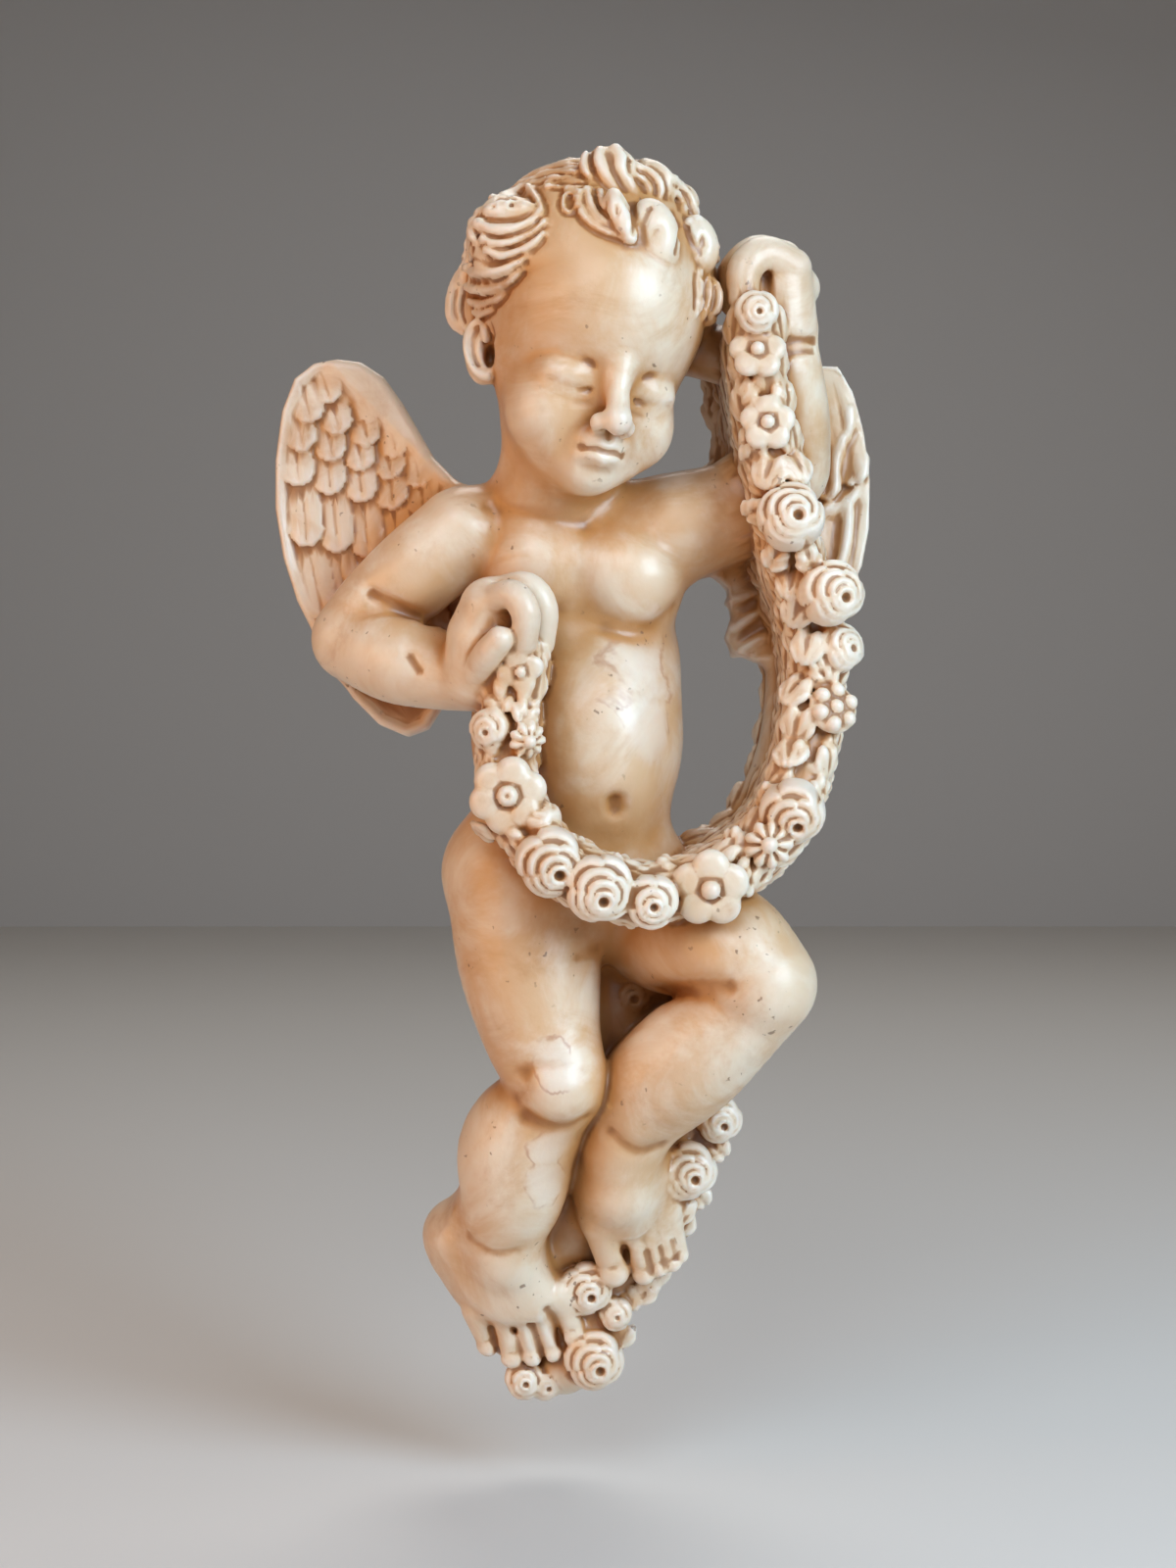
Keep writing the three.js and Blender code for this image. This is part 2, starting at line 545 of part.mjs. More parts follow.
// axes for something that faces "toward", with its own up as near as can be to the given one
function facing(toward, up = [0, 1, 0]) {
  const w = unit(toward);
  const u = unit(cross(up, w));
  return [u, cross(w, u), w];
}

function sculptHair(clay) {
  const axes = headAxes();
  const skull = ellipsoid([0, 10, -4], [29.6, 33.2, 30]);
  const cap = {
    lo: [-31, -24, -33],
    hi: [31, 45, 27],
    at(x, y, z) {
      const shell = skull.at(x, y, z);
      const edge = Math.max(13 + 0.006 * x * x + 0.675 * (z - 17.5), 6);
      const hairline = 0.83 * (edge - y);
      const h = Math.max(3 - Math.abs(shell - hairline), 0) / 3;
      return Math.max(shell, hairline) + h * h * 0.75;
    },
  };
  clay.add(toWall(placed(cap, HEAD_AT, axes), HEAD_LEVEL, 0.75), 1.2);
  clay.add(ellipsoid([-12.4, 75, 35], [10, 8.2, 10]), 2);
  clay.add(toWall(ellipsoid([-29, 49, 34], [5.4, 9, 6]), 34, 0.6), 1.5);

  // each lock is given by [across, up, radius] and found its depth on the skull
  const lay = (points, strands, ripple, sink = 0.35) => {
    const path = points.map(([x, y, r]) => [x, y, Math.max(clay.front(x, y), HAIR_LOWEST) - r * sink, r]);
    return lock(path, strands, ripple);
  };
  const locks = [
    [[[-20.6, 75.4, 1.8], [-14, 79.4, 2], [-5.7, 80.6, 1.8]], 2, 0.7],
    [[[-18.8, 74, 1.8], [-11.1, 76.8, 2], [-3.4, 75.6, 1.8]], 2, 0.7],
    [[[-15.8, 72, 1.8], [-8.7, 73.2, 2], [-1, 71.2, 1.8]], 2, 0.7],
    [[[-19.4, 74, 1.8], [-24.6, 72.6, 2.2], [-29.6, 66, 2.2], [-32, 58, 1.8]], 2, 0.7],
    [[[-31.5, 66, 2.4], [-35, 59, 2.8], [-35.6, 52.6, 2.8], [-34, 48, 2]], 2, 0.9],
    [[[-5.2, 81.8, 2.6], [-4, 78, 2.9], [-0.8, 73.6, 2.9], [1.8, 69.4, 2.4]], 2, 0.9],
    [[[-0.6, 82.4, 2.6], [0, 78, 2.9], [2.6, 74, 2.9], [5.2, 70, 2.4]], 2, 0.9],
    [[[2.8, 81.4, 2.4], [3.6, 77.6, 2.7], [5.4, 73.6, 2.7], [8.2, 70, 2.2]], 2, 0.9],
    [[[13.2, 78, 2.8], [17.4, 73.4, 3.2], [19.4, 68, 2.6]], 2, 0.9],
    [[[-9.3, 70.4, 1.7], [-10.5, 67.6, 1.8], [-8.1, 65, 1.8], [-6, 67.8, 1.6]], 1, 0.4],
    [[[-6.6, 71, 1.9], [-5.7, 67, 2.2], [-4.6, 62.8, 2.2], [-2, 60, 1.6]], 2, 0.7],
    [[[-4, 70.4, 1.9], [-2.8, 66, 2.3], [-1.4, 62, 2.3], [2, 59, 1.6]], 2, 0.7],
    [[[0.6, 69.4, 2.6], [1.8, 64.6, 3.6], [4, 60.4, 3.2], [6.2, 58.4, 1.8]], 3, 0.9],
    [[[17.9, 67, 2.6], [20, 62.6, 3.2], [21.6, 57, 2.4]], 2, 0.9],
    [[[22.7, 67, 2.4], [24, 62, 2.8], [23.4, 57, 2.2]], 2, 0.9],
  ];
  for (const [points, strands, ripple] of locks) clay.add(lay(points, strands, ripple), 0.7);

  // the plain rounded lock over the brow, and the curls
  clay.add(lay([[10.4, 69, 3.6], [11.2, 64, 4.6], [12.8, 59.4, 4.2]], 1, 0.3), 0.7);
  const curl = (x, y, r, high, toward, spec) => {
    const at = [x, y, Math.max(clay.front(x, y), HAIR_LOWEST) - high * 0.35];
    clay.add(placed(mound(r, high, spec), at, facing(toward, spec.up)), 0.8);
  };
  curl(-23.8, 61, [9.6, 12.6], 6, [-0.35, 0.1, 0.93], { eye: [0.5, 7], pitch: 3.4, depth: 1.3, twist: 0.4 });
  curl(10.2, 75.4, [6, 6.4], 4.4, [0.15, 0.5, 0.85], { eye: [-1, 0], pitch: 2.6, depth: 1.1 });
  curl(22.8, 48.6, [4.2, 6.2], 4.2, [0.75, 0, 0.66], { eye: [0, 1], pitch: 2.3, depth: 1 });
  curl(22.6, 60.6, [4.6, 5.4], 4, [0.5, 0.2, 0.85], { eye: [0, 0], pitch: 2.4, depth: 1 });

  // hair behind the head that runs across to the garland
  clay.add(toWall(limb([[17, 45, 21, 8], [25, 41.5, 23, 7], [32, 38, 24, 6]]), 20, 0.4), 2);
}

// Flowers. Each is drawn facing +out with radius r.

const flowers = {
  rose: (r) => mound([r, r], r * 0.82, { pitch: r * 0.36, depth: r * 0.17, lobes: 3 }),
  bud: (r) => mound([r * 0.95, r], r * 0.9, { pitch: r * 0.42, depth: r * 0.17, lobes: 2 }),
  five: (r) => petals(r, 5, 0.42, 0.27),
  four: (r) => petals(r, 4, 0.48, 0.26),
  berry: (r) => petals(r, 5, 0.36, 0.3),
  daisy: (r) => {
    const base = ellipsoid([0, 0, 0], [r, r, r * 0.5]);
    const rays = 9;
    return {
      lo: [-r, -r, -r * 0.5],
      hi: [r, r, r * 0.75],
      at(x, y, z) {
        const turn = Math.atan2(y, x);
        const groove = 0.16 * r * (1 - Math.abs(Math.cos((turn * rays) / 2)));
        const centre = ellipsoid([0, 0, r * 0.45], [r * 0.3, r * 0.3, r * 0.24]).at(x, y, z);
        return Math.min(base.at(x, y, z) + groove, centre);
      },
    };
  },
  leaf: (r) => {
    const blade = ellipsoid([0, 0, 0], [r * 0.62, r, r * 0.36]);
    return {
      lo: blade.lo,
      hi: blade.hi,
      at: (x, y, z) => blade.at(x, y, z) + r * 0.13 * Math.exp(-((x / (r * 0.12)) ** 2)),
    };
  },
  petal: (r) => {
    const blade = ellipsoid([0, 0, 0], [r * 0.85, r, r * 0.5]);
    const cup = ellipsoid([0, r * 0.15, r * 0.62], [r * 0.5, r * 0.6, r * 0.3]);
    return { lo: blade.lo, hi: blade.hi, at: (x, y, z) => Math.max(blade.at(x, y, z), -cup.at(x, y, z)) };
  },
};

function petals(r, count, size, button) {
  const parts = [];
  for (let i = 0; i < count; i += 1) {
    const a = (i / count) * 2 * Math.PI + 0.3;
    const c = [r * 0.6 * Math.cos(a), r * 0.6 * Math.sin(a), 0];
    parts.push(ellipsoid(c, [r * size, r * size, r * 0.34]));
  }
  const centre = ball([0, 0, r * 0.22], r * button);
  return {
    lo: [-r * 1.05, -r * 1.05, -r * 0.4],
    hi: [r * 1.05, r * 1.05, r * 0.6],
    at(x, y, z) {
      let d = centre.at(x, y, z);
      for (const part of parts) d = Math.min(d, part.at(x, y, z));
      return d;
    },
  };
}

// the garland's core, from the low hand round to the raised hand
const GARLAND_PATH = [
  [-21, -34, 47], [-23.4, -49.4, 47], [-23, -65, 49], [-14.6, -78.6, 51], [-3.4, -85.4, 52], [9.4, -88, 51],
  [23, -85.4, 49], [36.6, -76.4, 45], [44.4, -63, 41], [48.2, -48, 37], [49, -34, 36], [46.8, -20, 39],
  [42.4, -7, 43], [39.6, 6, 45], [36.8, 19, 46], [34.6, 32.5, 46], [33.8, 45, 46],
];

// kind, across, up, out, radius, and a turn for leaves
const GARLAND_FLOWERS = [
  ['four', -20.4, -37.2, 54, 5.2, 0], ['bud', -27.4, -50.4, 52, 5, 0], ['daisy', -18.6, -53, 54.5, 4.6, 0],
  ['leaf', -18.6, -45.6, 53, 4.6, 0.6], ['leaf', -26, -43.6, 52, 4.6, -0.5],
  ['petal', -27.6, -57.6, 50, 4, 2.6],
  ['five', -23.2, -65.6, 56, 9.2, 0], ['bud', -15.6, -70.6, 54, 4.6, 0], ['petal', -29.6, -74, 50, 4, 2.2],
  ['rose', -13.4, -80.8, 58, 7.8, 0], ['rose', -2.3, -86.6, 59.5, 7.8, 0.5],
  ['bud', 9.4, -89.6, 58.5, 6.4, 0],
  ['petal', -7.6, -78.6, 54, 4.6, 0.4], ['petal', 3.6, -82.4, 54, 4.4, 0.2], ['leaf', 3.4, -93, 54, 4.8, 2.6],
  ['leaf', 14.6, -81.6, 53, 4.6, -0.6], ['five', 22.9, -86.8, 57, 8.8, 0], ['leaf', 32, -84.4, 53, 5.2, 3.6],
  ['leaf', 28.6, -77, 50, 5.2, -0.4], ['daisy', 36.4, -76.8, 54, 5.8, 0], ['rose', 42, -69.6, 51, 7.4, 0],
  ['leaf', 36.6, -66.4, 46, 4.8, 0.4], ['petal', 39, -60.4, 44, 5, 0.6], ['petal', 42, -55.6, 45, 5.4, 0],
  ['petal', 49, -58, 42, 5, -0.7], ['petal', 43.6, -49.6, 44, 5.2, 0.3], ['berry', 52.4, -45.2, 44, 6.6, 0],
  ['petal', 43, -41, 43, 5, 0.5], ['leaf', 49.6, -37.2, 44, 4.6, -0.5], ['rose', 54, -31, 42, 5.8, 0],
  ['petal', 45.8, -31.4, 45, 5, 0.2], ['petal', 43.4, -23.2, 46, 5, 0.4], ['rose', 51.4, -18.8, 49, 7.4, 0],
  ['petal', 42.2, -16.4, 47, 5, 0.1], ['leaf', 45.6, -10.6, 51, 4.4, -0.4], ['leaf', 38.6, -10, 49, 4.6, 0.6],
  ['rose', 41.4, -1.6, 54, 7.6, 0], ['leaf', 33.4, 0, 49, 4.4, 0.9], ['petal', 36.4, 8.6, 52, 5.2, 0.3],
  ['petal', 43.6, 9.6, 51, 4.8, -0.5], ['leaf', 33, 13, 50, 4.2, 0.7], ['five', 36.2, 19.8, 53, 6.4, 0],
  ['leaf', 31.6, 26.2, 50, 4.4, 0.6], ['petal', 36.6, 28, 51, 4.8, -0.2], ['five', 33.9, 36.2, 53, 6.6, 0],
  ['bud', 33.7, 45.2, 52.5, 5.2, 0],
];

const BASE_FLOWERS = [
  ['rose', 5.2, -114.2, 13, 6.2, 0], ['rose', 27, -144.9, 17, 5.8, 0], ['rose', 19.6, -157, 20, 6.6, 0],
  ['leaf', 27, -153, 14, 4.6, -0.8], ['petal', 17.6, -168.4, 17, 4.6, 0.6],
  ['petal', 18, -177.4, 15, 4.2, 0.3],
  ['leaf', 9.4, -187, 14, 4.4, 0.4], ['rose', -5.4, -186.2, 18, 6.2, 0], ['daisy', 3.4, -191.8, 17, 5, 0],
  ['rose', -3.4, -203.8, 17, 7.2, 0], ['bud', -20.6, -209.6, 13, 5, 0], ['rose', -15.4, -210.6, 12, 4.4, 0],
  ['leaf', -11.6, -178, 13, 4.6, 0.4], ['leaf', -8, -170, 12, 4.4, -0.5],
  ['petal', 11.8, -150.4, 13, 4.4, 0.5],
  ['leaf', 8.4, -123.6, 10, 4.6, 0.2], ['petal', 22.6, -148.6, 14, 4.4, 0.3],
];

function plant(clay, list, grow, centreOf) {
  for (const [kind, x, y, z, r, turn] of list) {
    const c = centreOf(x, y, z);
    const away = unit([x - c[0], y - c[1], Math.max(4, (z - c[2]) * 1.6)]);
    const up = [Math.sin(turn), Math.cos(turn), 0];
    const seat = plus([x, y, z], away, -r * 0.15);
    clay.add(placed(flowers[kind](r * grow), seat, facing(away, up)), 0.6);
  }
}

function sculptGarland(clay) {
  const grow = GARLAND_WIDTH / DRAWN_GARLAND;
  const core = GARLAND_PATH.map(([x, y, z]) => [x, y, z - 0.5, 6.3 * grow]);
  clay.add(toWall(smoothLimb(core, 2), 38, 0.12), 1);
  const foot = GARLAND_PATH.slice(5, 11).map(([x, y]) => [x - 1.5, y + 1, 7, 8 * grow]);
  clay.add(toWall(smoothLimb(foot, 2), 6, 0.3), 5);
  const nearest = (x, y) => {
    let best = GARLAND_PATH[0];
    for (const p of GARLAND_PATH) {
      if (Math.hypot(p[0] - x, p[1] - y) < Math.hypot(best[0] - x, best[1] - y)) best = p;
    }
    return best;
  };
  plant(clay, GARLAND_FLOWERS, grow, nearest);
}

function sculptBase(clay) {
  const ground = [
    [1, -107, 8, 9.5], [5, -126, 7, 9.6], [16, -141, 8, 8.5], [19, -157, 8, 7.6], [13.5, -170, 7, 7],
    [4, -182, 7, 7], [-3, -192, 8, 8], [-6.6, -204, 9, 8.4], [-16, -209.4, 7, 5.8],
  ];
  clay.add(toWall(smoothLimb(ground, 2), 8, 0.4), 2);
  clay.add(toWall(limb([[6, -113, 8, 8], [13, -117, 8, 6.4]]), 8, 0.4), 2);
  clay.add(toWall(smoothLimb([[-5, -112, 6, 11], [-5, -150, 6, 11], [-10, -176, 7, 9]], 2), 6, 0.4), 2);
  plant(clay, BASE_FLOWERS, 1, (x, y) => [x, y, 0]);
}

// Mesh of the zero surface: one point in every cell the surface crosses

function settle(clay) {
  // fill checkered cell faces, so that no edge is shared by four faces
  const { n, field } = clay;
  const step = [1, n[0], n[0] * n[1]];
  const eps = 0.02;
  for (let pass = 0; pass < 12; pass += 1) {
    let changed = 0;
    for (let k = 1; k < n[2] - 2; k += 1) {
      for (let j = 1; j < n[1] - 2; j += 1) {
        for (let i = 1; i < n[0] - 2; i += 1) {
          const at = (k * n[1] + j) * n[0] + i;
          for (let a = 0; a < 3; a += 1) {
            const p = at + step[a];
            const q = at + step[(a + 1) % 3];
            const r = p + q - at;
            const s = [field[at] < 0, field[p] < 0, field[q] < 0, field[r] < 0];
            if (s[0] === s[3] && s[1] === s[2] && s[0] !== s[1]) {
              const pair = s[0] ? [p, q] : [at, r];
              const fill = field[pair[0]] < field[pair[1]] ? pair[0] : pair[1];
              field[fill] = -eps;
              changed += 1;
            }
          }
        }
      }
    }
    if (!changed) return;
  }
}

// keep one solid without bubbles: everything not reached from the outside is filled
function onePiece(clay) {
  const { n, field } = clay;
  const total = field.length;
  for (let at = 0; at < total; at += 1) {
    const i = at % n[0];
    const j = Math.floor(at / n[0]) % n[1];
    const k = Math.floor(at / (n[0] * n[1]));
    const rim = Math.min(i, j, k, n[0] - 1 - i, n[1] - 1 - j, n[2] - 1 - k);
    if (rim === 0) field[at] = Math.max(field[at], 0.6);
  }
  const label = new Uint8Array(total);
  const flood = (seed, inside, mark) => {
    const stack = [seed];
    label[seed] = mark;
    let size = 0;
    while (stack.length) {
      const at = stack.pop();
      size += 1;
      const i = at % n[0];
      const j = Math.floor(at / n[0]) % n[1];
      const k = Math.floor(at / (n[0] * n[1]));
      const near = [];
      if (i > 0) near.push(at - 1);
      if (i < n[0] - 1) near.push(at + 1);
      if (j > 0) near.push(at - n[0]);
      if (j < n[1] - 1) near.push(at + n[0]);
      if (k > 0) near.push(at - n[0] * n[1]);
      if (k < n[2] - 1) near.push(at + n[0] * n[1]);
      for (const to of near) {
        if (!label[to] && field[to] < 0 === inside) {
          label[to] = mark;
          stack.push(to);
        }
      }
    }
    return size;
  };
  flood(0, false, 1);
  let best = -1;
  let most = 0;
  const seeds = [];
  for (let at = 0; at < total; at += 1) {
    if (!label[at] && field[at] < 0) {
      const size = flood(at, true, 2);
      seeds.push(at);
      if (size > most) {
        most = size;
        best = at;
      }
    }
  }
  for (let at = 0; at < total; at += 1) if (label[at] === 2) label[at] = 0;
  flood(best, true, 3);
  for (let at = 0; at < total; at += 1) {
    if (field[at] < 0 && label[at] !== 3) field[at] = 0.5;
    if (field[at] >= 0 && label[at] !== 1) field[at] = -0.5;
  }
}

function surface(clay) {
  const { n, field, lo, cell } = clay;
  const index = new Int32Array(field.length).fill(-1);
  const points = [];
  const faces = [];
  const layer = n[0] * n[1];
  const corner = [0, 1, n[0], n[0] + 1, layer, layer + 1, layer + n[0], layer + n[0] + 1];
  const edges = [];
  for (let a = 0; a < 8; a += 1) {
    for (let b = 0; b < 3; b += 1) if (!(a & (1 << b))) edges.push([a, a | (1 << b)]);
  }
  for (let k = 0; k < n[2] - 1; k += 1) {
    for (let j = 0; j < n[1] - 1; j += 1) {
      for (let i = 0; i < n[0] - 1; i += 1) {
        const at = k * layer + j * n[0] + i;
        let mask = 0;
        for (let c = 0; c < 8; c += 1) if (field[at + corner[c]] < 0) mask |= 1 << c;
        if (mask === 0 || mask === 255) continue;
        let x = 0;
        let y = 0;
        let z = 0;
        let count = 0;
        for (const [a, b] of edges) {
          const fa = field[at + corner[a]];
          const fb = field[at + corner[b]];
          if (fa < 0 === fb < 0) continue;
          const t = fa / (fa - fb);
          x += (a & 1) + t * ((b & 1) - (a & 1));
          y += ((a >> 1) & 1) + t * (((b >> 1) & 1) - ((a >> 1) & 1));
          z += (a >> 2) + t * ((b >> 2) - (a >> 2));
          count += 1;
        }
        index[at] = points.length / 3;
        const middle = [i + x / count, j + y / count, k + z / count];
        points.push(...middle.map((step, axis) => lo[axis] + step * cell));
      }
    }
  }
  const step = [1, n[0], layer];
  for (let k = 0; k < n[2] - 1; k += 1) {
    for (let j = 0; j < n[1] - 1; j += 1) {
      for (let i = 0; i < n[0] - 1; i += 1) {
        const at = k * layer + j * n[0] + i;
        const cellAt = [i, j, k];
        for (let a = 0; a < 3; a += 1) {
          if (!cellAt[(a + 1) % 3] || !cellAt[(a + 2) % 3]) continue;
          const here = field[at] < 0;
          if (here === field[at + step[a]] < 0) continue;
          const b = step[(a + 1) % 3];
          const c = step[(a + 2) % 3];
          const quad = [index[at - b - c], index[at - c], index[at], index[at - b]];
          if (!here) quad.reverse();
          faces.push(quad[0], quad[1], quad[2], quad[0], quad[2], quad[3]);
        }
      }
    }
  }
  return { points: Float64Array.from(points), faces: Int32Array.from(faces) };
}

// Fewer triangles: the edge whose loss moves the surface least is closed up, again and again

function thin(mesh, budget) {
  const { points, faces } = mesh;
  const count = points.length / 3;
  const quadric = new Float64Array(count * 10);
  const around = Array.from({ length: count }, () => []);
  const live = new Uint8Array(faces.length / 3).fill(1);
  const corner = (f, k) => faces[f * 3 + k];
  const at = (v) => [points[v * 3], points[v * 3 + 1], points[v * 3 + 2]];
  const minus = (a, b) => [a[0] - b[0], a[1] - b[1], a[2] - b[2]];
  for (let f = 0; f < live.length; f += 1) {
    const [a, b, c] = [0, 1, 2].map((k) => at(corner(f, k)));
    const nrm = cross(minus(b, a), minus(c, a));
    const area = Math.hypot(...nrm) || 1e-12;
    const m = [nrm[0] / area, nrm[1] / area, nrm[2] / area];
    const plane = [...m, -dot(m, a)];
    for (let k = 0; k < 3; k += 1) {
      const v = corner(f, k);
      around[v].push(f);
      let s = v * 10;
      for (let p = 0; p < 4; p += 1) {
        for (let q = p; q < 4; q += 1) {
          quadric[s] += plane[p] * plane[q] * area;
          s += 1;
        }
      }
    }
  }
  const error = (q, p) => {
    const [x, y, z] = p;
    return (
      q[0] * x * x + 2 * q[1] * x * y + 2 * q[2] * x * z + 2 * q[3] * x + q[4] * y * y +
      2 * q[5] * y * z + 2 * q[6] * y + q[7] * z * z + 2 * q[8] * z + q[9]
    );
  };
  const best = (u, v) => {
    const q = new Float64Array(10);
    for (let i = 0; i < 10; i += 1) q[i] = quadric[u * 10 + i] + quadric[v * 10 + i];
    const [a, b, c, , d, e, , g] = q;
    const [r, s, t] = [-q[3], -q[6], -q[8]];
    const det = a * (d * g - e * e) - b * (b * g - e * c) + c * (b * e - d * c);
    const pu = at(u);
    const pv = at(v);
    const mid = plus(pu, minus(pv, pu), 0.5);
    const long = Math.hypot(...minus(pu, pv));
    let to = null;
    if (Math.abs(det) > 1e-3 * (a + d + g) ** 3 * 1e-2) {
      to = [
        (r * (d * g - e * e) - b * (s * g - e * t) + c * (s * e - d * t)) / det,
        (a * (s * g - e * t) - r * (b * g - e * c) + c * (b * t - s * c)) / det,
        (a * (d * t - s * e) - b * (b * t - s * c) + r * (b * e - d * c)) / det,
      ];
      if (Math.hypot(...minus(to, mid)) > long) to = null;
    }
    if (!to) to = [pu, pv, mid].reduce((w, p) => (error(q, p) < error(q, w) ? p : w), mid);
    return { to, cost: Math.max(error(q, to), 0) + 1e-4 * long * long };
  };
  const heap = [];
  const stamp = new Uint32Array(count);
  const push = (item) => {
    let i = heap.length;
    heap.push(item);
    while (i > 0) {
      const up = (i - 1) >> 1;
      if (heap[up].cost <= item.cost) break;
      heap[i] = heap[up];
      i = up;
    }
    heap[i] = item;
  };
  const pop = () => {
    const top = heap[0];
    const last = heap.pop();
    if (heap.length) {
      let i = 0;
      for (;;) {
        let next = 2 * i + 1;
        if (next >= heap.length) break;
        if (next + 1 < heap.length && heap[next + 1].cost < heap[next].cost) next += 1;
        if (heap[next].cost >= last.cost) break;
        heap[i] = heap[next];
        i = next;
      }
      heap[i] = last;
    }
    return top;
  };
  const offer = (u, v) => {
    const { to, cost } = best(u, v);
    push({ u, v, to, cost, su: stamp[u], sv: stamp[v] });
  };
  for (let f = 0; f < live.length; f += 1) {
    for (let k = 0; k < 3; k += 1) {
      const u = corner(f, k);
      const v = corner(f, (k + 1) % 3);
      if (u < v) offer(u, v);
    }
  }
  const ring = (v) => {
    const set = new Set();
    for (const f of around[v]) for (let k = 0; k < 3; k += 1) if (corner(f, k) !== v) set.add(corner(f, k));
    return set;
  };
  const flips = (v, other, to) => {
    for (const f of around[v]) {
      const t = [corner(f, 0), corner(f, 1), corner(f, 2)];
      if (t.includes(other)) continue;
      const p = t.map(at);
      const was = cross(minus(p[1], p[0]), minus(p[2], p[0]));
      p[t.indexOf(v)] = to;
      const now = cross(minus(p[1], p[0]), minus(p[2], p[0]));
      const size = Math.hypot(...now);
      if (dot(was, now) < 0.25 * Math.hypot(...was) * size) return true;
      const span = Math.max(...[0, 1, 2].map((k) => Math.hypot(...minus(p[k], p[(k + 1) % 3]))));
      if (size < 0.06 * span * span) return true;
    }
    return false;
  };
  let left = live.length;
  while (left > budget && heap.length) {
    const { u, v, to, su, sv } = pop();
    if (stamp[u] !== su || stamp[v] !== sv) continue;
    const near = ring(v);
    const shared = [...ring(u)].filter((w) => near.has(w));
    if (shared.length !== 2 || flips(u, v, to) || flips(v, u, to)) continue;
    points.set(to, u * 3);
    for (let i = 0; i < 10; i += 1) quadric[u * 10 + i] += quadric[v * 10 + i];
    for (const f of around[v]) {
      const k = [0, 1, 2].findIndex((c) => corner(f, c) === v);
      if ([0, 1, 2].some((c) => corner(f, c) === u)) {
        live[f] = 0;
        left -= 1;
      } else {
        faces[f * 3 + k] = u;
        around[u].push(f);
      }
    }
    around[v] = [];
    for (const w of [u, ...shared]) around[w] = around[w].filter((f) => live[f]);
    stamp[v] += 1;
    stamp[u] += 1;
    for (const w of ring(u)) offer(u, w);
  }
  const keep = [];
  for (let f = 0; f < live.length; f += 1) if (live[f]) keep.push(corner(f, 0), corner(f, 1), corner(f, 2));
  return { points, faces: keep };
}

// From the drawn figure to the named sizes, in the part's own frame

function toGeometry(mesh) {
  const tall = FIGURE_HEIGHT / DRAWN_HEIGHT;
  const deep = RELIEF_DEPTH / DRAWN_DEPTH;
  const used = new Map();
  const points = [];
  const faces = [];
  for (const v of mesh.faces) {
    if (!used.has(v)) {
      used.set(v, used.size);
      const out = mesh.points[v * 3 + 2];
      const flat = Math.abs(out) < WALL_SNAP ? 0 : out;
      points.push(mesh.points[v * 3] * tall, -flat * deep, mesh.points[v * 3 + 1] * tall);
    }
    faces.push(used.get(v));
  }
  const geometry = new THREE.BufferGeometry();
  geometry.setAttribute('position', new THREE.Float32BufferAttribute(points, 3));
  geometry.setIndex(faces);
  return geometry;
}

function weld(geometry) {
  const bare = new THREE.BufferGeometry();
  bare.setAttribute('position', geometry.getAttribute('position'));
  bare.setIndex(geometry.getIndex());
  return mergeVertices(bare, 1e-4);
}

const wasm = await Module();
wasm.setup();

function solidOf(geometry) {
  const g = weld(geometry);
  return new wasm.Manifold(
    new wasm.Mesh({
      numProp: 3,
      vertProperties: new Float32Array(g.getAttribute('position').array),
      triVerts: new Uint32Array(g.getIndex().array),
    }),
  );
}

function geometryOf(solid) {
  const { vertProperties, triVerts, numProp } = solid.getMesh();
  const count = vertProperties.length / numProp;
  const points = new Float32Array(count * 3);
  for (let i = 0; i < count; i += 1) {
    for (let k = 0; k < 3; k += 1) points[i * 3 + k] = vertProperties[i * numProp + k];
  }
  const geometry = new THREE.BufferGeometry();
  geometry.setAttribute('position', new THREE.BufferAttribute(points, 3));
  geometry.setIndex(new THREE.BufferAttribute(new Uint32Array(triVerts), 1));
  return geometry;
}

function sculpt() {
  const clay = new Clay([-91, -225, -5.3], [74, 94, 74], CELL);
  sculptWings(clay);
  sculptBase(clay);
  sculptBody(clay);
  sculptHead(clay);
  sculptHair(clay);
  sculptEar(clay);
  creaseBody(clay);
  sculptToes(clay);
  sculptGarland(clay);
  sculptHands(clay);
  return clay;
}

function build() {
  const clay = sculpt();
  settle(clay);
  onePiece(clay);
  settle(clay);
  const mesh = thin(surface(clay), TRIANGLE_BUDGET);
  const figure = solidOf(toGeometry(mesh));

  // everything behind the wall plane is cut away
  const reach = FIGURE_HEIGHT * 2;
  const behind = new THREE.BoxGeometry(reach, reach, reach).translate(0, reach / 2, 0);

  // a blind hole for the nail, in the flat back
  const radius = NAIL_HOLE_DIAMETER / 2;
  const hole = new THREE.CylinderGeometry(radius, radius, NAIL_HOLE_DEPTH * 2, 24);
  hole.translate(0, 0, -NAIL_HOLE_BELOW_ORIGIN);

  const solid = figure.subtract(solidOf(behind)).subtract(solidOf(hole));
  const geometry = geometryOf(solid).toNonIndexed();
  geometry.computeVertexNormals();
  const material = new THREE.MeshStandardMaterial({ color: 0xd9a878, roughness: 0.35, metalness: 0 });
  const plaque = new THREE.Mesh(geometry, material);
  plaque.name = 'cherub_plaque';
  const group = new THREE.Group();
  group.name = 'cherub_wall_plaque';
  group.add(plaque);
  return group;
}

export default build();
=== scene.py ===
"""Looks of the cherub wall plaque: the cast figure in full detail, its resin finish, light and camera.

The figure is carved as one field of signed distances on a grid. Limbs, feathers, locks of hair and
petals are simple bodies that are blended into the field, and its zero surface becomes the mesh.
Points in the carving are (across, up, out) in millimetres, where "out" is the distance from the
wall. In the part's frame that is X = across, Z = up, Y = -out, in metres.
"""

import math

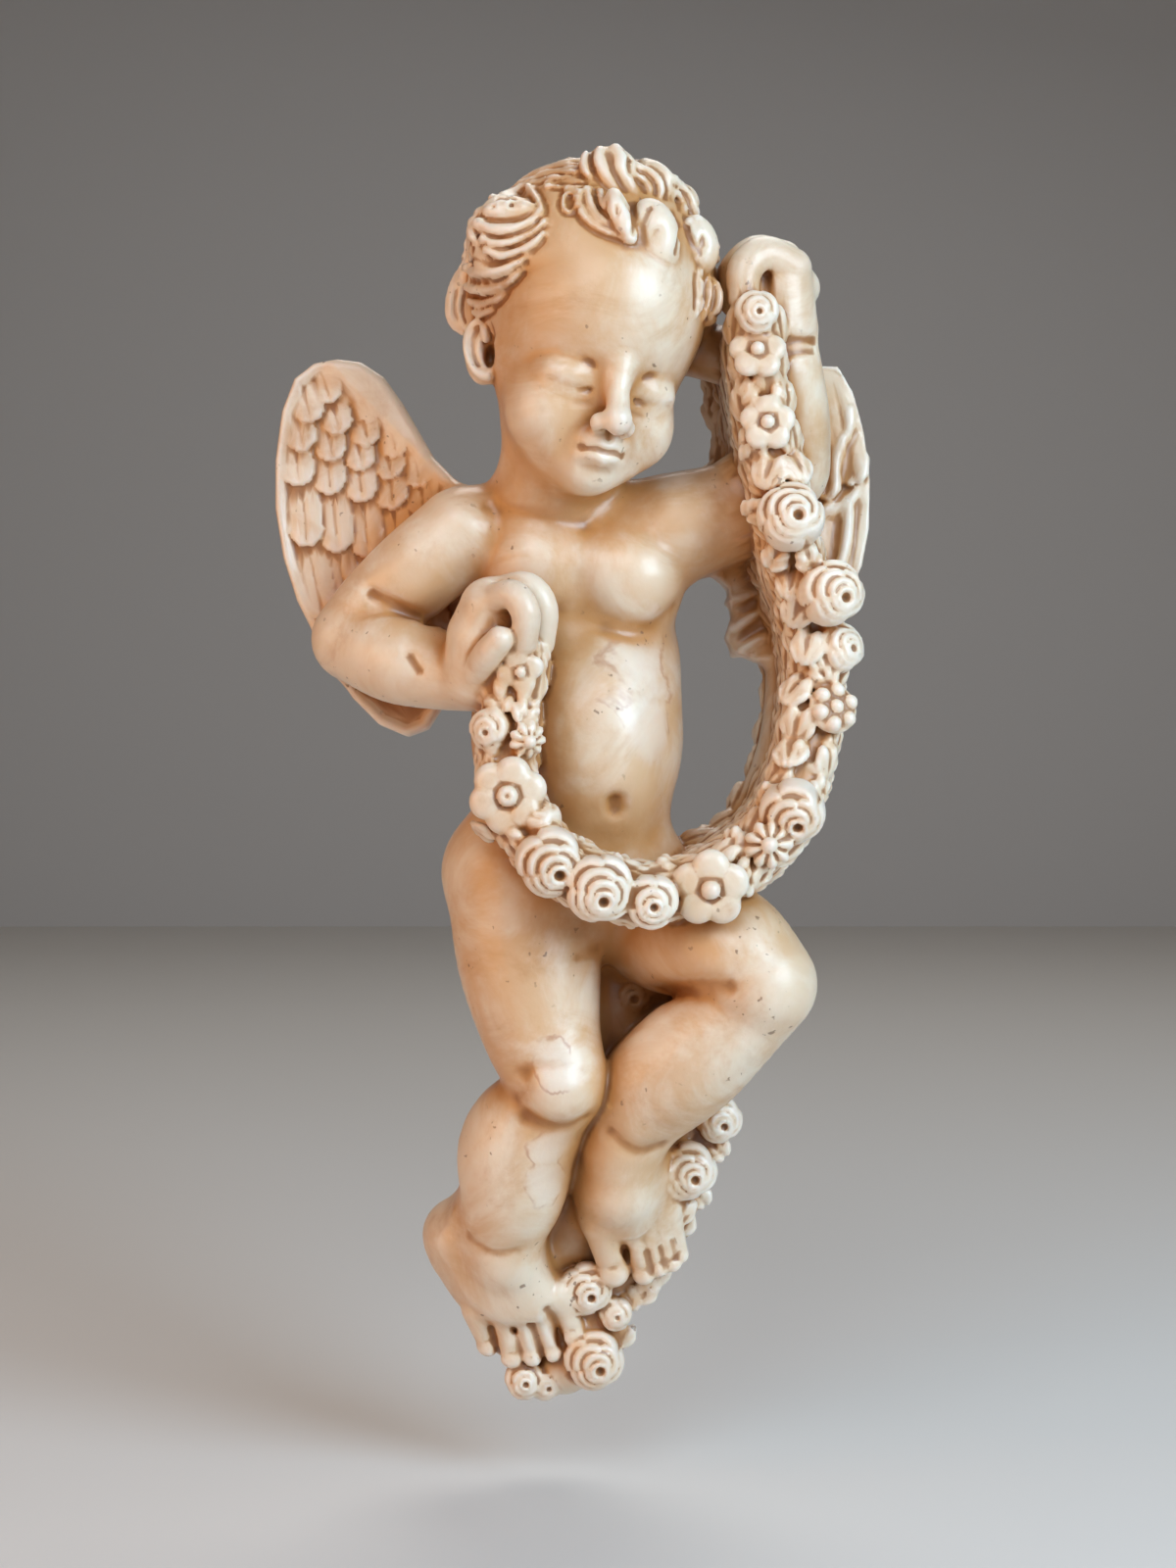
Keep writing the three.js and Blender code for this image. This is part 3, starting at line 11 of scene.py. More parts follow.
import bmesh
import bpy
import numpy as np
from mathutils import Matrix, Vector


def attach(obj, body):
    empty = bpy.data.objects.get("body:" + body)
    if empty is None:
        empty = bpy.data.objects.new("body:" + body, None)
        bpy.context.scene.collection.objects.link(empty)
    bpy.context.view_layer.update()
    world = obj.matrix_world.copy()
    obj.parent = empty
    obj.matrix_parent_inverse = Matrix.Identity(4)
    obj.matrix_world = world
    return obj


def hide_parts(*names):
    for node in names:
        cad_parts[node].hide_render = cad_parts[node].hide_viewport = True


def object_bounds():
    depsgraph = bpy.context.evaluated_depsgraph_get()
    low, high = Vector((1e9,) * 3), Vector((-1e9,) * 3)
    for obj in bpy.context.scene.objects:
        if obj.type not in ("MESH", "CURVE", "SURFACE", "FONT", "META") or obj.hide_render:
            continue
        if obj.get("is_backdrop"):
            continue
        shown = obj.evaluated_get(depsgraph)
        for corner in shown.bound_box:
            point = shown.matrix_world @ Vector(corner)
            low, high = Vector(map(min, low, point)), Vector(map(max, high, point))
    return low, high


# the grid of the carving: spacing, corners, and the distance it holds before anything is added
CELL = 0.6
GRID_LOW = (-91, -225)
GRID_HIGH = (74, 94, 74)
FAR = 40
TRIANGLES = 190000

# the blind hole for the nail, in the flat back
NAIL_HOLE_RADIUS = 3.5
NAIL_HOLE_DEPTH = 9
NAIL_HOLE_UP = -24

# the garland as wanted and as drawn below
GARLAND_WIDTH = 18.0
DRAWN_GARLAND = 18.0


# small helpers

def vec(*values):
    return np.array(values, dtype=float)


def unit(values):
    values = np.asarray(values, dtype=float)
    return values / np.linalg.norm(values)


def fract(values):
    return values - np.floor(values)


def smooth_gap(a, b, soft):
    """What a blend of width soft adds where two distances are nearly equal."""
    h = np.maximum(soft - np.abs(a - b), 0) / soft
    return h * h * soft / 4


# bodies: a box (lo, hi) and a signed distance at(x, y, z), negative inside

class Body:
    def __init__(self, lo, hi, at):
        self.lo = np.asarray(lo, dtype=float)
        self.hi = np.asarray(hi, dtype=float)
        self.at = at


def ellipsoid(centre, radii):
    c, r = vec(*centre), vec(*radii)

    def at(x, y, z):
        a, b, d = (x - c[0]) / r[0], (y - c[1]) / r[1], (z - c[2]) / r[2]
        k = np.sqrt(a * a + b * b + d * d)
        g = np.sqrt((a / r[0]) ** 2 + (b / r[1]) ** 2 + (d / r[2]) ** 2)
        return np.where(g < 1e-9, -r.min(), k * (k - 1) / np.maximum(g, 1e-9))

    return Body(c - r, c + r, at)


def ball(centre, radius):
    return ellipsoid(centre, (radius, radius, radius))


def limb(points):
    """A chain of tapering round bars through (across, up, out, radius)."""
    p = np.array(points, dtype=float)

    def at(x, y, z):
        best = None
        for a, b in zip(p[:-1], p[1:]):
            v = b[:3] - a[:3]
            t = ((x - a[0]) * v[0] + (y - a[1]) * v[1] + (z - a[2]) * v[2]) / max(v @ v, 1e-9)
            t = np.clip(t, 0, 1)
            d = np.sqrt((x - a[0] - v[0] * t) ** 2 + (y - a[1] - v[1] * t) ** 2 + (z - a[2] - v[2] * t) ** 2)
            d -= a[3] + (b[3] - a[3]) * t
            best = d if best is None else np.minimum(best, d)
        return best

    return Body((p[:, :3] - p[:, 3:]).min(0), (p[:, :3] + p[:, 3:]).max(0), at)


def rounded(points, steps=6):
    """More points along the smooth curve through the given ones, with steps of them to a span."""
    p = np.array(points, dtype=float)
    ends = np.vstack([2 * p[0] - p[1], p, 2 * p[-1] - p[-2]])
    out = []
    for i in range(len(p) - 1):
        a, b, c, d = ends[i:i + 4]
        for t in np.arange(steps) / steps:
            bend = (2 * a - 5 * b + 4 * c - d) * t * t + (3 * b - a - 3 * c + d) * t ** 3
            out.append(0.5 * (2 * b + (c - a) * t + bend))
    return np.array(out + [p[-1]])


def smooth_limb(points, steps=6):
    return limb(rounded(points, steps))


def placed(body, origin, axes):
    """A body drawn in its own frame, set at an origin with its axes as unit vectors."""
    o, m = vec(*origin), np.array(axes, dtype=float)
    pick = np.array([[(i >> k) & 1 for k in range(3)] for i in range(8)])
    corners = o + np.where(pick, body.hi, body.lo) @ m

    def at(x, y, z):
        a, b, c = x - o[0], y - o[1], z - o[2]
        return body.at(*(a * u[0] + b * u[1] + c * u[2] for u in m))

    return Body(corners.min(0), corners.max(0), at)


# how far past the wall a body may reach before it is trimmed
BEHIND_WALL = -6


def to_wall(body, level, rate):
    """Below level a body is drawn out towards the wall, slowly where rate is small."""
    lo = vec(body.lo[0], body.lo[1], max(BEHIND_WALL, level + (body.lo[2] - level) / rate))

    def at(x, y, z):
        return body.at(x, y, np.where(z < level, level + (z - level) * rate, z))

    return Body(lo, body.hi, at)


def facing(toward, up=(0, 1, 0)):
    """Axes of something that faces toward, with its own up as near as can be to the given one."""
    w = unit(toward)
    u = unit(np.cross(up, w))
    return [u, np.cross(w, u), w]


# the clay: a grid of distances that bodies are added to, cut from or pressed into

BLEND_MARGIN = 2
PRESS_REACH = 3


class Clay:
    def __init__(self, lo, hi, cell):
        self.lo = vec(*lo)
        self.cell = cell
        self.n = np.ceil((vec(*hi) - self.lo) / cell).astype(int) + 1
        self.field = np.full(self.n, FAR, dtype=np.float32)

    def work(self, body, margin, rule):
        start = np.clip(np.floor((body.lo - margin - self.lo) / self.cell).astype(int), 0, self.n)
        stop = np.clip(np.ceil((body.hi + margin - self.lo) / self.cell).astype(int) + 1, 0, self.n)
        if (stop <= start).any():
            return
        where = tuple(slice(a, b) for a, b in zip(start, stop))
        axes = [self.lo[i] + np.arange(start[i], stop[i]) * self.cell for i in range(3)]
        grid = np.meshgrid(*[a.astype(np.float32) for a in axes], indexing="ij", sparse=True)
        self.field[where] = rule(self.field[where], body.at(*grid))

    def add(self, body, soft=0.8):
        self.work(body, soft + BLEND_MARGIN, lambda f, d: np.minimum(f, d) - smooth_gap(f, d, soft))

    def cut(self, body, soft=0.8):
        self.work(body, soft + BLEND_MARGIN, lambda f, d: np.maximum(f, -d) + smooth_gap(f, -d, soft))

    def press(self, body, width, depth):
        """A soft groove (depth above 0) or ridge (depth below 0) along a thin body."""
        self.work(body, width * PRESS_REACH,
                  lambda f, d: f + depth * np.exp(-(np.maximum(d, 0) / width) ** 2))

    def front(self, x, y):
        """How far out the surface is at (x, y), seen from the front."""
        i, j = (int(round((v - self.lo[k]) / self.cell)) for k, v in enumerate((x, y)))
        column = self.field[np.clip(i, 0, self.n[0] - 1), np.clip(j, 0, self.n[1] - 1)]
        inside = np.nonzero(column < 0)[0]
        if not len(inside) or inside[-1] >= len(column) - 1:
            return 0.0
        k = inside[-1]
        t = column[k] / (column[k] - column[k + 1])
        return max(0.0, self.lo[2] + (k + t) * self.cell)


def curved(points, steps):
    """More points along the smooth curve through points given across and up."""
    return rounded([(x, y, 0, 1) for x, y in points], steps)[:, :2]


def laid(clay, points, radius=0.1, sink=0.0):
    """A thin bar on the surface, under points given across and up."""
    return limb([(x, y, clay.front(x, y) - sink, radius) for x, y in points])


# torso, legs and arms; "left" is the viewer's left

BODY_LEVEL = 22


def carve_body(clay):
    def trunk(body, soft):
        clay.add(to_wall(body, BODY_LEVEL, 0.45), soft)

    def leg(body, soft, level=26):
        clay.add(to_wall(body, level, 0.26), soft)

    trunk(ellipsoid((-7.5, -14, 21), (24.5, 20, 18.5)), 4)
    trunk(ellipsoid((-8, -50, 20), (25.5, 33, 17)), 6)
    trunk(ellipsoid((-10, -84, 21), (29.5, 20, 18)), 8)
    trunk(ellipsoid((-7.6, -33, 20), (25, 22, 17)), 5)
    clay.add(ellipsoid((-2.4, -52, 27), (18, 28, 20.5)), 7)
    clay.add(ball((-17.5, -10.5, 29.4), 12), 7)
    clay.add(ball((5.8, -13.6, 30), 12), 7)
    trunk(limb([(-15.5, 4, 27, 13.5), (-11, 18, 35, 13)]), 5)
    trunk(limb([(-13, 1.5, 24, 9.5), (-34, -2.5, 25, 9.5)]), 6)
    trunk(limb([(0, 1, 24, 9.5), (17, -1, 24, 11)]), 6)

    leg(smooth_limb([(-20.5, -85, 24, 18.5), (-19.2, -104, 27, 17.3), (-16.2, -121, 30.5, 14.2),
                     (-12.6, -131, 33.5, 12)]), 5)
    clay.add(ball((-11.2, -135, 35.5), 10), 4)
    leg(smooth_limb([(-14.5, -140, 29, 11), (-21.6, -149.5, 26, 14.1), (-23, -161, 25, 12.6),
                     (-25.6, -172.5, 22, 9)]), 3)
    trunk(limb([(-39.4, -174.6, 15, 6.6), (-27, -176, 20, 8)]), 4)
    trunk(limb([(-28, -165, 19, 8), (-36, -173, 15, 7)]), 4)
    trunk(limb([(-37.4, -181, 13, 6.6), (-31, -191, 13, 5.4)]), 5)
    trunk(limb([(-24, -179, 20.5, 8.4), (-17, -187.4, 17.5, 6.2)]), 5)
    trunk(limb([(-31, -184, 14.5, 8), (-23.6, -189, 16, 6.4)]), 5)
    trunk(ellipsoid((-25, -186, 15), (8.5, 9, 8)), 5)
    trunk(limb([(-30, -188.6, 13.6, 6), (-16.4, -189.4, 17.4, 5)]), 4)

    leg(smooth_limb([(2, -94, 10, 14.6), (14, -98.6, 20.4, 15), (27, -101, 37.5, 14.6),
                     (35.8, -109.5, 44, 12)]), 4, 24)
    leg(limb([(10, -98, 14, 11), (29.4, -102.6, 34, 13), (35.8, -109.5, 42, 12)]), 3, 34)
    leg(smooth_limb([(33.5, -114.5, 41, 11.4), (18.8, -128, 35, 14), (8, -139, 30, 12.2),
                     (3.4, -149.5, 27, 9.8)]), 1.4, 31)
    leg(limb([(3.4, -150, 26, 9.4), (3, -161, 24.6, 9.4), (5, -167, 20.5, 7.8), (6.4, -172, 18.4, 6)]), 3)
    trunk(limb([(-2, -155, 20, 7), (-0.8, -167.6, 19.5, 6.8)]), 4)
    trunk(limb([(9, -158, 20, 7.5), (11.8, -165, 18, 6.2)]), 4)

    clay.add(to_wall(smooth_limb([(-35.5, -3, 28, 11), (-46, -12, 27.5, 11), (-55.5, -20.5, 25, 10.4),
                                  (-61.6, -27.6, 23, 10)]), 24, 0.35), 4)
    clay.add(to_wall(smooth_limb([(-61.4, -28.4, 24, 9.8), (-50.6, -32.8, 31, 10.9), (-40, -36.2, 36, 9.2),
                                  (-33.5, -38, 39, 7.8)]), 26, 0.35), 1.6)
    clay.add(to_wall(limb([(17, -1, 25, 12.6), (30, 3, 24, 12), (41, 12, 25, 10.8)]), 24, 0.3), 5)
    clay.add(to_wall(smooth_limb([(42.6, 14, 28, 10.6), (42.6, 23.5, 33, 9.9), (41.6, 33, 37, 9),
                                  (40.7, 41.6, 38.5, 7.9)]), 30, 0.25), 3)
    clay.add(to_wall(limb([(40.6, 45, 39, 8.3), (40, 53.5, 39, 8.2)]), 32, 0.3), 2.5)


# folds and hollows of the body: (points across and up, width, depth)
FOLDS = [
    ([(1.6, -67.6), (1.9, -69)], 2, 4.2),
    ([(0, -26.2), (5, -27.2), (11, -25.6), (15.5, -21)], 3, 1),
    ([(-27, -22), (-20, -23.6), (-12, -22)], 2.4, 0.8),
    ([(-6.5, -16), (-5, -27), (-5.6, -38), (-3.6, -50)], 4.6, 0.7),
    ([(-0.8, -56), (-2.8, -65), (-1.8, -75)], 3.4, 0.4),
    ([(12, -57), (13, -66), (11, -76)], 3.4, 0.4),
    ([(-56, -18.2), (-47, -22.6), (-39, -26.4)], 1.5, 2),
    ([(-46.4, -33.4), (-44.4, -36.6)], 1.2, 0.9),
    ([(-2.6, -102.6), (-7, -103.6)], 2.2, 0.6),
    ([(-22, -130), (-17.6, -128.6), (-12, -128.4), (-6, -129.8)], 2.8, 0.6),
    ([(-19.4, -140.8), (-15, -143), (-10, -143.6), (-5, -141.6)], 2.2, 1.2),
    ([(-22, -137), (-19.6, -134), (-19.4, -130.6)], 2.2, 0.7),
    ([(13, -112.6), (20, -109.8), (27, -109.4)], 2.6, 1.2),
    ([(0.4, -145), (3.6, -148), (7.4, -149.6), (12.6, -148.4)], 2, 0.9),
    ([(33.6, 41.4), (40, 39.6), (48, 40.6)], 1.1, 1.1),
    ([(34, 38.4), (40, 37), (47.6, 38)], 1, 0.7),
    ([(-29, 2.6), (-18, 0.4), (-6, -2)], 2.2, 0.5),
    ([(-33.6, -171.4), (-27.5, -174.8), (-21, -173.6)], 1.5, 0.35),
]


def carve_folds(clay):
    for points, width, depth in FOLDS:
        path = curved(points, 4) if len(points) > 2 else points
        clay.press(laid(clay, path), width, depth)


# hands and feet

FINGERS_LOW = [
    [(-27.6, -21.2, 50.5, 3.7), (-22.2, -20, 56, 3.6), (-19.2, -24.2, 57.4, 3.5), (-19.6, -30.4, 54.4, 3.2)],
    [(-25.4, -18.4, 47, 3.6), (-19, -17.6, 49.6, 3.5), (-15.2, -22.4, 50, 3.4), (-15.6, -30.4, 47, 3)],
    [(-31, -38, 47, 4.2), (-27.8, -33.4, 54, 3.6), (-24.8, -30, 56.6, 3.2)],
]
FINGERS_HIGH = [
    [(42.4, 57.4, 42, 5), (36, 59.8, 45, 4.6), (31.4, 56, 47, 4.2), (31, 49.4, 47, 3.7)],
    [(41, 60.6, 37, 4.6), (34.4, 62, 37.6, 4.2), (29, 56.6, 39, 3.8), (29.4, 49.6, 41, 3.4)],
    [(44.6, 54, 37, 5.2), (40, 60.4, 35, 4.8), (35, 60.6, 33, 4)],
]
TOES = [
    [(-32, -192, 15.4, 3.9), (-29.4, -200.2, 13, 2.8)],
    [(-25.8, -191, 17.4, 3.1), (-23.7, -203, 14.2, 2.6)],
    [(-21, -191, 18.4, 2.9), (-18.5, -202.6, 15, 2.4)],
    [(-16.8, -190, 19, 2.8), (-13.7, -201.6, 15.4, 2.3)],
    [(-11.6, -187, 19.4, 3.2), (-8.7, -196.8, 16.2, 2.9)],
    [(-1.4, -170, 22, 4.8), (1.3, -181, 19, 3.6)],
    [(5.4, -169.6, 22.6, 3), (8.6, -181.6, 18.8, 2.6)],
    [(9.2, -169, 22, 2.7), (12.3, -180, 18.6, 2.4)],
    [(12.4, -167.8, 21.2, 2.5), (15.6, -179.2, 17.8, 2.2)],
    [(15, -166.4, 20, 2.4), (17.6, -177.4, 17, 2)],
]
# grooves between the toes: from, to, width, depth
TOE_GAPS = [
    ((-28.8, -196), (-27.2, -203), 0.7, 0.9), ((-23.1, -196), (-21, -204.4), 0.7, 0.9),
    ((-18.9, -194.4), (-16, -203.6), 0.8, 1.3), ((-14.6, -190.6), (-11.6, -199.6), 1.2, 2),
    ((3.8, -175.8), (5.5, -183), 1.1, 1.3), ((9.2, -176.6), (10.4, -181.8), 0.8, 0.6),
    ((12.5, -175.6), (13.8, -180.8), 0.7, 0.5), ((15.3, -174), (16.5, -179), 0.7, 0.4),
]


def carve_hands(clay):
    clay.add(limb([(-31, -37.6, 43, 8), (-29.2, -28.8, 46, 8.6), (-27.4, -22.4, 47.5, 7.4)]), 2)
    for finger in FINGERS_LOW:
        clay.add(smooth_limb(finger, 4), 0.7)
    clay.cut(ball((-23.8, -25.4, 56), 2.3), 0.6)
    for finger in FINGERS_HIGH:
        clay.add(to_wall(smooth_limb(finger, 4), 34, 0.4), 0.8)
    clay.cut(limb([(36.2, 54.8, 46, 1.6), (36.6, 48, 48, 1.6)]), 0.6)


def carve_toes(clay):
    for base, tip in TOES:
        r = tip[3]
        clay.add(to_wall(limb([base, tip]), 13, 0.5), 1.5)
        clay.add(ball(vec(*tip[:3]) + vec(0, -0.6, 0.5), r * 1.08), 0.4)
        nail = vec(*tip[:3]) + vec(0, -0.4, r * 1.02)
        clay.press(ellipsoid(nail, (r * 0.45, r * 0.5, r * 0.3)), 0.5, 0.3)
    for start, end, width, depth in TOE_GAPS:
        clay.press(laid(clay, (start, end), 0.2, 0.3), width, depth)
    clay.add(to_wall(limb([(-30.4, -196, 8, 4.6), (-24, -200.4, 9, 5), (-14, -199, 9, 6)]), 8, 0.4), 1)


# wings: a dished plate inside a drawn outline, feathered in rows along arcs

def outline(points):
    ring = [(vec(*a), vec(*b)) for a, b in zip(points, points[1:] + points[:1])]

    def at(x, y):
        near, inside = None, False
        for a, b in ring:
            e = b - a
            t = np.clip(((x - a[0]) * e[0] + (y - a[1]) * e[1]) / (e @ e), 0, 1)
            d = (x - a[0] - e[0] * t) ** 2 + (y - a[1] - e[1] * t) ** 2
            near = d if near is None else np.minimum(near, d)
            if a[1] != b[1]:
                spans = (a[1] > y) != (b[1] > y)
                inside = inside ^ (spans & (x < a[0] + e[0] * (y - a[1]) / e[1]))
        return np.sqrt(near) * np.where(inside, -1, 1)

    return at


# a feather: height at its root, what it gains by its tip, how much it vaults and leans across
FEATHER_ROOT = 0.2
FEATHER_LIFT = 1.7
FEATHER_VAULT = 0.55
FEATHER_LEAN = 0.3
QUILL_WIDTH = 0.55
QUILL_DEPTH = 0.35


def feathers(x, y, plumes):
    """Height of overlapped feathers, each given by its root, its tip and half its width."""
    top = np.zeros(np.broadcast(x, y).shape)
    for root, tip, half in plumes:
        length = math.dist(root, tip)
        ex, ey = (tip[0] - root[0]) / length, (tip[1] - root[1]) / length
        along = (x - root[0]) * ex + (y - root[1]) * ey
        across = (x - root[0]) * ey - (y - root[1]) * ex
        edge = np.hypot(np.maximum(along - length + half, 0), across) - half
        rise = FEATHER_ROOT + FEATHER_LIFT * np.clip(along / length, 0, 1)
        vault = FEATHER_VAULT * (across / half) ** 2 + FEATHER_LEAN * across / half
        quill = QUILL_DEPTH * np.exp(-(across / QUILL_WIDTH) ** 2)
        top = np.where((edge < 0) & (along > 0), np.maximum(top, rise - vault - quill), top)
    return top


def rows_of_feathers(rows):
    """Feathers side by side: first tip, last tip, how many, length, half width and lean."""
    for first, last, count, length, half, lean in rows:
        for t in np.linspace(0, 1, count):
            tip = (first[0] + (last[0] - first[0]) * t, first[1] + (last[1] - first[1]) * t)
            yield (tip[0] - length * lean, tip[1] + length * math.sqrt(1 - lean * lean)), tip, half


# a wing's smooth border stands this high, and its leading edge this much higher
BORDER_HIGH = 1.9
LEAD_HIGH = 1.1


def wing(clay, edge, root, thick, lead_at, plumes, border_wide=3.6):
    """A plate inside a drawn edge that swells to its root (across, up, reach, height)."""
    rim_at = outline(edge)
    xs, ys = [p[0] for p in edge], [p[1] for p in edge]

    def at(x, y, z):
        rim = rim_at(x, y)
        near_root = np.exp(-((x - root[0]) ** 2 + (y - root[1]) ** 2) / root[2] ** 2)
        lead = np.clip((lead_at(x, y) + 3) / 6, 0, 1)
        border = np.clip((rim + border_wide) / (border_wide * 0.67), 0, 1)
        smooth = np.maximum(lead, border)
        relief = feathers(x, y, plumes) * (1 - smooth) + (BORDER_HIGH + LEAD_HIGH * lead) * smooth
        top = thick + root[3] * near_root + relief
        side, roof = rim + 0.4, (z - top) * 0.9
        return np.maximum(side, roof) + smooth_gap(side, roof, 2.4)

    clay.add(Body((min(xs), min(ys), BEHIND_WALL), (max(xs), max(ys), root[3] + 16), at), 2)


# raised quills of the wing at the viewer's right, and the hollows between them
WING_RIDGES = [
    [(60, 30), (59.8, 25), (57.4, 20.6), (56.4, 15), (56.4, 10), (53.6, 5.4), (50.6, 0)],
    [(64.2, 18), (63.2, 13), (60.6, 8), (56.6, 5.6), (53.4, 5)],
    [(60, 7), (59.6, 0), (58, -8), (54.4, -15)],
    [(42, -13), (36, -15.6), (29.6, -17.6)],
    [(43, -18), (37, -20.6), (31.4, -24.4)],
    [(44, -24), (38, -27), (31, -31.4)],
]
WING_HOLLOWS = [
    [(61.8, 24), (59.6, 17), (59, 11)],
    [(54, 20), (53.6, 12), (51.6, 6)],
    [(62.4, 6), (62, -3), (60, -10)],
    [(57, 2), (56, -6), (53, -12)],
    [(41, -15.8), (36, -18.2), (30.8, -21)],
    [(43, -21.4), (37, -24), (30, -28.4)],
]


def carve_wings(clay):
    wing(
        clay,
        edge=[(-67, 42.8), (-73.1, 41.8), (-78.2, 38), (-81.4, 29.6), (-83, 17.4), (-83, 5.2),
              (-81, -7), (-77.6, -17.6), (-73.4, -26), (-69, -34), (-63.6, -42), (-57, -48.6),
              (-50, -51.6), (-44.6, -49.6), (-41, -44), (-36, -34), (-24, -20), (-22, -6), (-30, 6),
              (-37, 11.6), (-42.4, 17.4), (-46.6, 24.8), (-50.4, 31.4), (-55.2, 38.2), (-61, 42)],
        root=(-34, 4, 17, 12), thick=8.4, lead_at=lambda x, y: 0.72 * (x + 57) + 0.69 * (y - 22) - 2,
        plumes=list(rows_of_feathers([
            ((-68.6, 31.4), (-58, 27), 2, 9, 3.7, 0.3), ((-73.4, 26.6), (-52, 18), 4, 11, 3.9, 0.25),
            ((-75.4, 19.6), (-46, 10), 5, 11, 4.1, 0.2), ((-76.4, 11), (-45, 2.6), 5, 14, 4.2, 0.12),
            ((-74.4, -4), (-44, -10), 5, 20, 4.3, 0.1), ((-70.4, -22), (-42, -28), 5, 24, 4.3, 0.22),
            ((-64, -37), (-40, -44), 4, 24, 4.6, 0.35),
        ])),
    )
    wing(
        clay,
        edge=[(34, 34), (44, 39.4), (52, 41.6), (57.6, 41.2), (61.4, 34.6), (64.2, 24.6),
              (65.6, 12.6), (65.4, 0.4), (63.6, -9), (59.6, -17.6), (53.6, -26), (44, -32),
              (36.4, -32.6), (30.6, -30.4), (28.8, -26.4), (30.4, -21.4), (29.4, -14.6), (26, -10.6),
              (20, -8), (16, 0), (22, 14), (30, 22)],
        root=(24, 0, 14, 10), thick=7.6, lead_at=lambda x, y: -9 + 0 * x,
        plumes=[((56, 38), (61.4, 11.4), 4.6), ((50, 36), (54.6, 7.6), 4.2), ((46, 34), (48, 5), 4.2),
                ((63, 14), (60.4, -14), 4.2), ((58, 10), (54.4, -18), 4.2), ((52.6, 8), (48.4, -22), 4.2)],
        border_wide=1.4,
    )
    for points in WING_RIDGES:
        clay.press(laid(clay, curved(points, 3)), 0.9, -1.1)
    for points in WING_HOLLOWS:
        clay.press(laid(clay, points), 1.5, 1.1)


# head: drawn looking along +out, then turned, nodded and tilted into place

HEAD_AT = (-5.1, 40.4, 37.4)
HEAD_TURN = 0.384
HEAD_NOD = 0.175
HEAD_TILT = -0.157
HEAD_LEVEL = 34
HAIR_LOWEST = 33


def head_axes():
    tilt, turn = Matrix.Rotation(HEAD_TILT, 3, "Z"), Matrix.Rotation(HEAD_TURN, 3, "Y")
    pose = tilt @ turn @ Matrix.Rotation(HEAD_NOD, 3, "X")
    return [np.array(pose.col[i]) for i in range(3)]


def carve_head(clay):
    axes = head_axes()

    def on_head(body):
        return placed(body, HEAD_AT, axes)

    def add(body, soft):
        clay.add(on_head(body), soft)

    def press(body, width, depth):
        clay.press(on_head(body), width, depth)

    clay.add(to_wall(on_head(ellipsoid((0, 9, -3), (26.5, 29, 28))), HEAD_LEVEL, 0.75), 2)
    clay.add(to_wall(on_head(ellipsoid((0, -9, 4), (20, 23, 20.5))), HEAD_LEVEL, 0.75), 6)
    add(ellipsoid((0, 10, 9), (21, 20, 19.6)), 6)
    for s in (-1, 1):
        add(ball((s * 10.2, -16.6, 13.4), 9.8), 5)
    add(ellipsoid((0, -25.6, 14), (10.5, 7, 9)), 6)
    add(ball((0, -27.4, 18.2), 5.9), 4)

    # brow, sockets and closed lids
    for s in (-1, 1):
        clay.cut(on_head(ellipsoid((s * 10, -6.4, 31), (7.8, 4.2, 5.2))), 4)
    for s in (-1, 1):
        add(ellipsoid((s * 9.8, -7.8, 18.1), (6.9, 4.2, 6.1)), 2.6)

    def over_eye(eye, offsets, height):
        return limb([(eye + a, height(a), 24.6 - 0.08 * a * a, 0.1) for a in offsets])

    for s in (-1, 1):
        lash = over_eye(s * 9.8, (-5.6, -3, 0, 3, 5.6), lambda a: -9.4 - 1.3 * (1 - (a / 6) ** 2))
        press(lash, 0.7, 0.9)
        fold = over_eye(s * 9.8, (-5.4, -2.6, 0, 2.6, 5.4), lambda a: -3.6 - 0.06 * a * a)
        press(fold, 0.8, 0.7)
        bag = over_eye(s * 9.6, (-4.4, 0, 4.4), lambda a: -13.6 + 0.05 * a * a)
        press(bag, 1.1, 0.35)

    # nose
    add(limb([(0, -3.4, 25.2, 2.5), (0, -9, 26.8, 2.5), (0, -14.4, 29.6, 2.9)]), 3.4)
    add(ball((0, -15.6, 30.3), 3.1), 1.6)
    for s in (-1, 1):
        add(ball((s * 3.1, -16.6, 27.6), 2.3), 1.4)
        press(limb([(s * 1.6, -18.7, 29, 0.3), (s * 2.4, -18.5, 28, 0.3)]), 0.8, 1.3)

    # mouth: small lips parted by a line, dimples at the corners, dip above the chin
    add(ellipsoid((0, -22.4, 23.8), (6.2, 4.4, 3.2)), 3)
    for s in (-1, 1):
        add(limb([(s * 0.9, -21.2, 26.4, 1.2), (s * 3.8, -22.4, 25, 0.7)]), 1.6)
    add(limb([(-2, -24, 25.5, 1.1), (0, -24.5, 25.8, 1.5), (2, -24, 25.5, 1.1)]), 1.6)
    parting = [(-4.8, -22.9, 24.6), (-2, -22.5, 26.9), (0, -22.9, 27.3), (2, -22.5, 26.9), (4.8, -22.9, 24.6)]
    press(limb([(*p, 0.1) for p in parting]), 0.7, 0.8)
    press(limb([(0, -18.8, 27.8, 0.2), (0, -20.2, 27.2, 0.2)]), 0.9, 0.5)
    for s in (-1, 1):
        press(ball((s * 5.4, -22.9, 24.4), 0.3), 1.4, 0.6)
    press(limb([(-2, -26.8, 24.6, 0.2), (2, -26.8, 24.6, 0.2)]), 2.4, 0.6)


# the ear at the viewer's left, in the figure's own frame
EAR_RIM = [
    (-28.6, 40.6), (-29.2, 43), (-30.4, 44.8), (-32, 44.4), (-33.1, 42.2), (-33.3, 39.6),
    (-32.8, 36.8), (-31.6, 34.2), (-30, 32.6), (-28.2, 32),
]


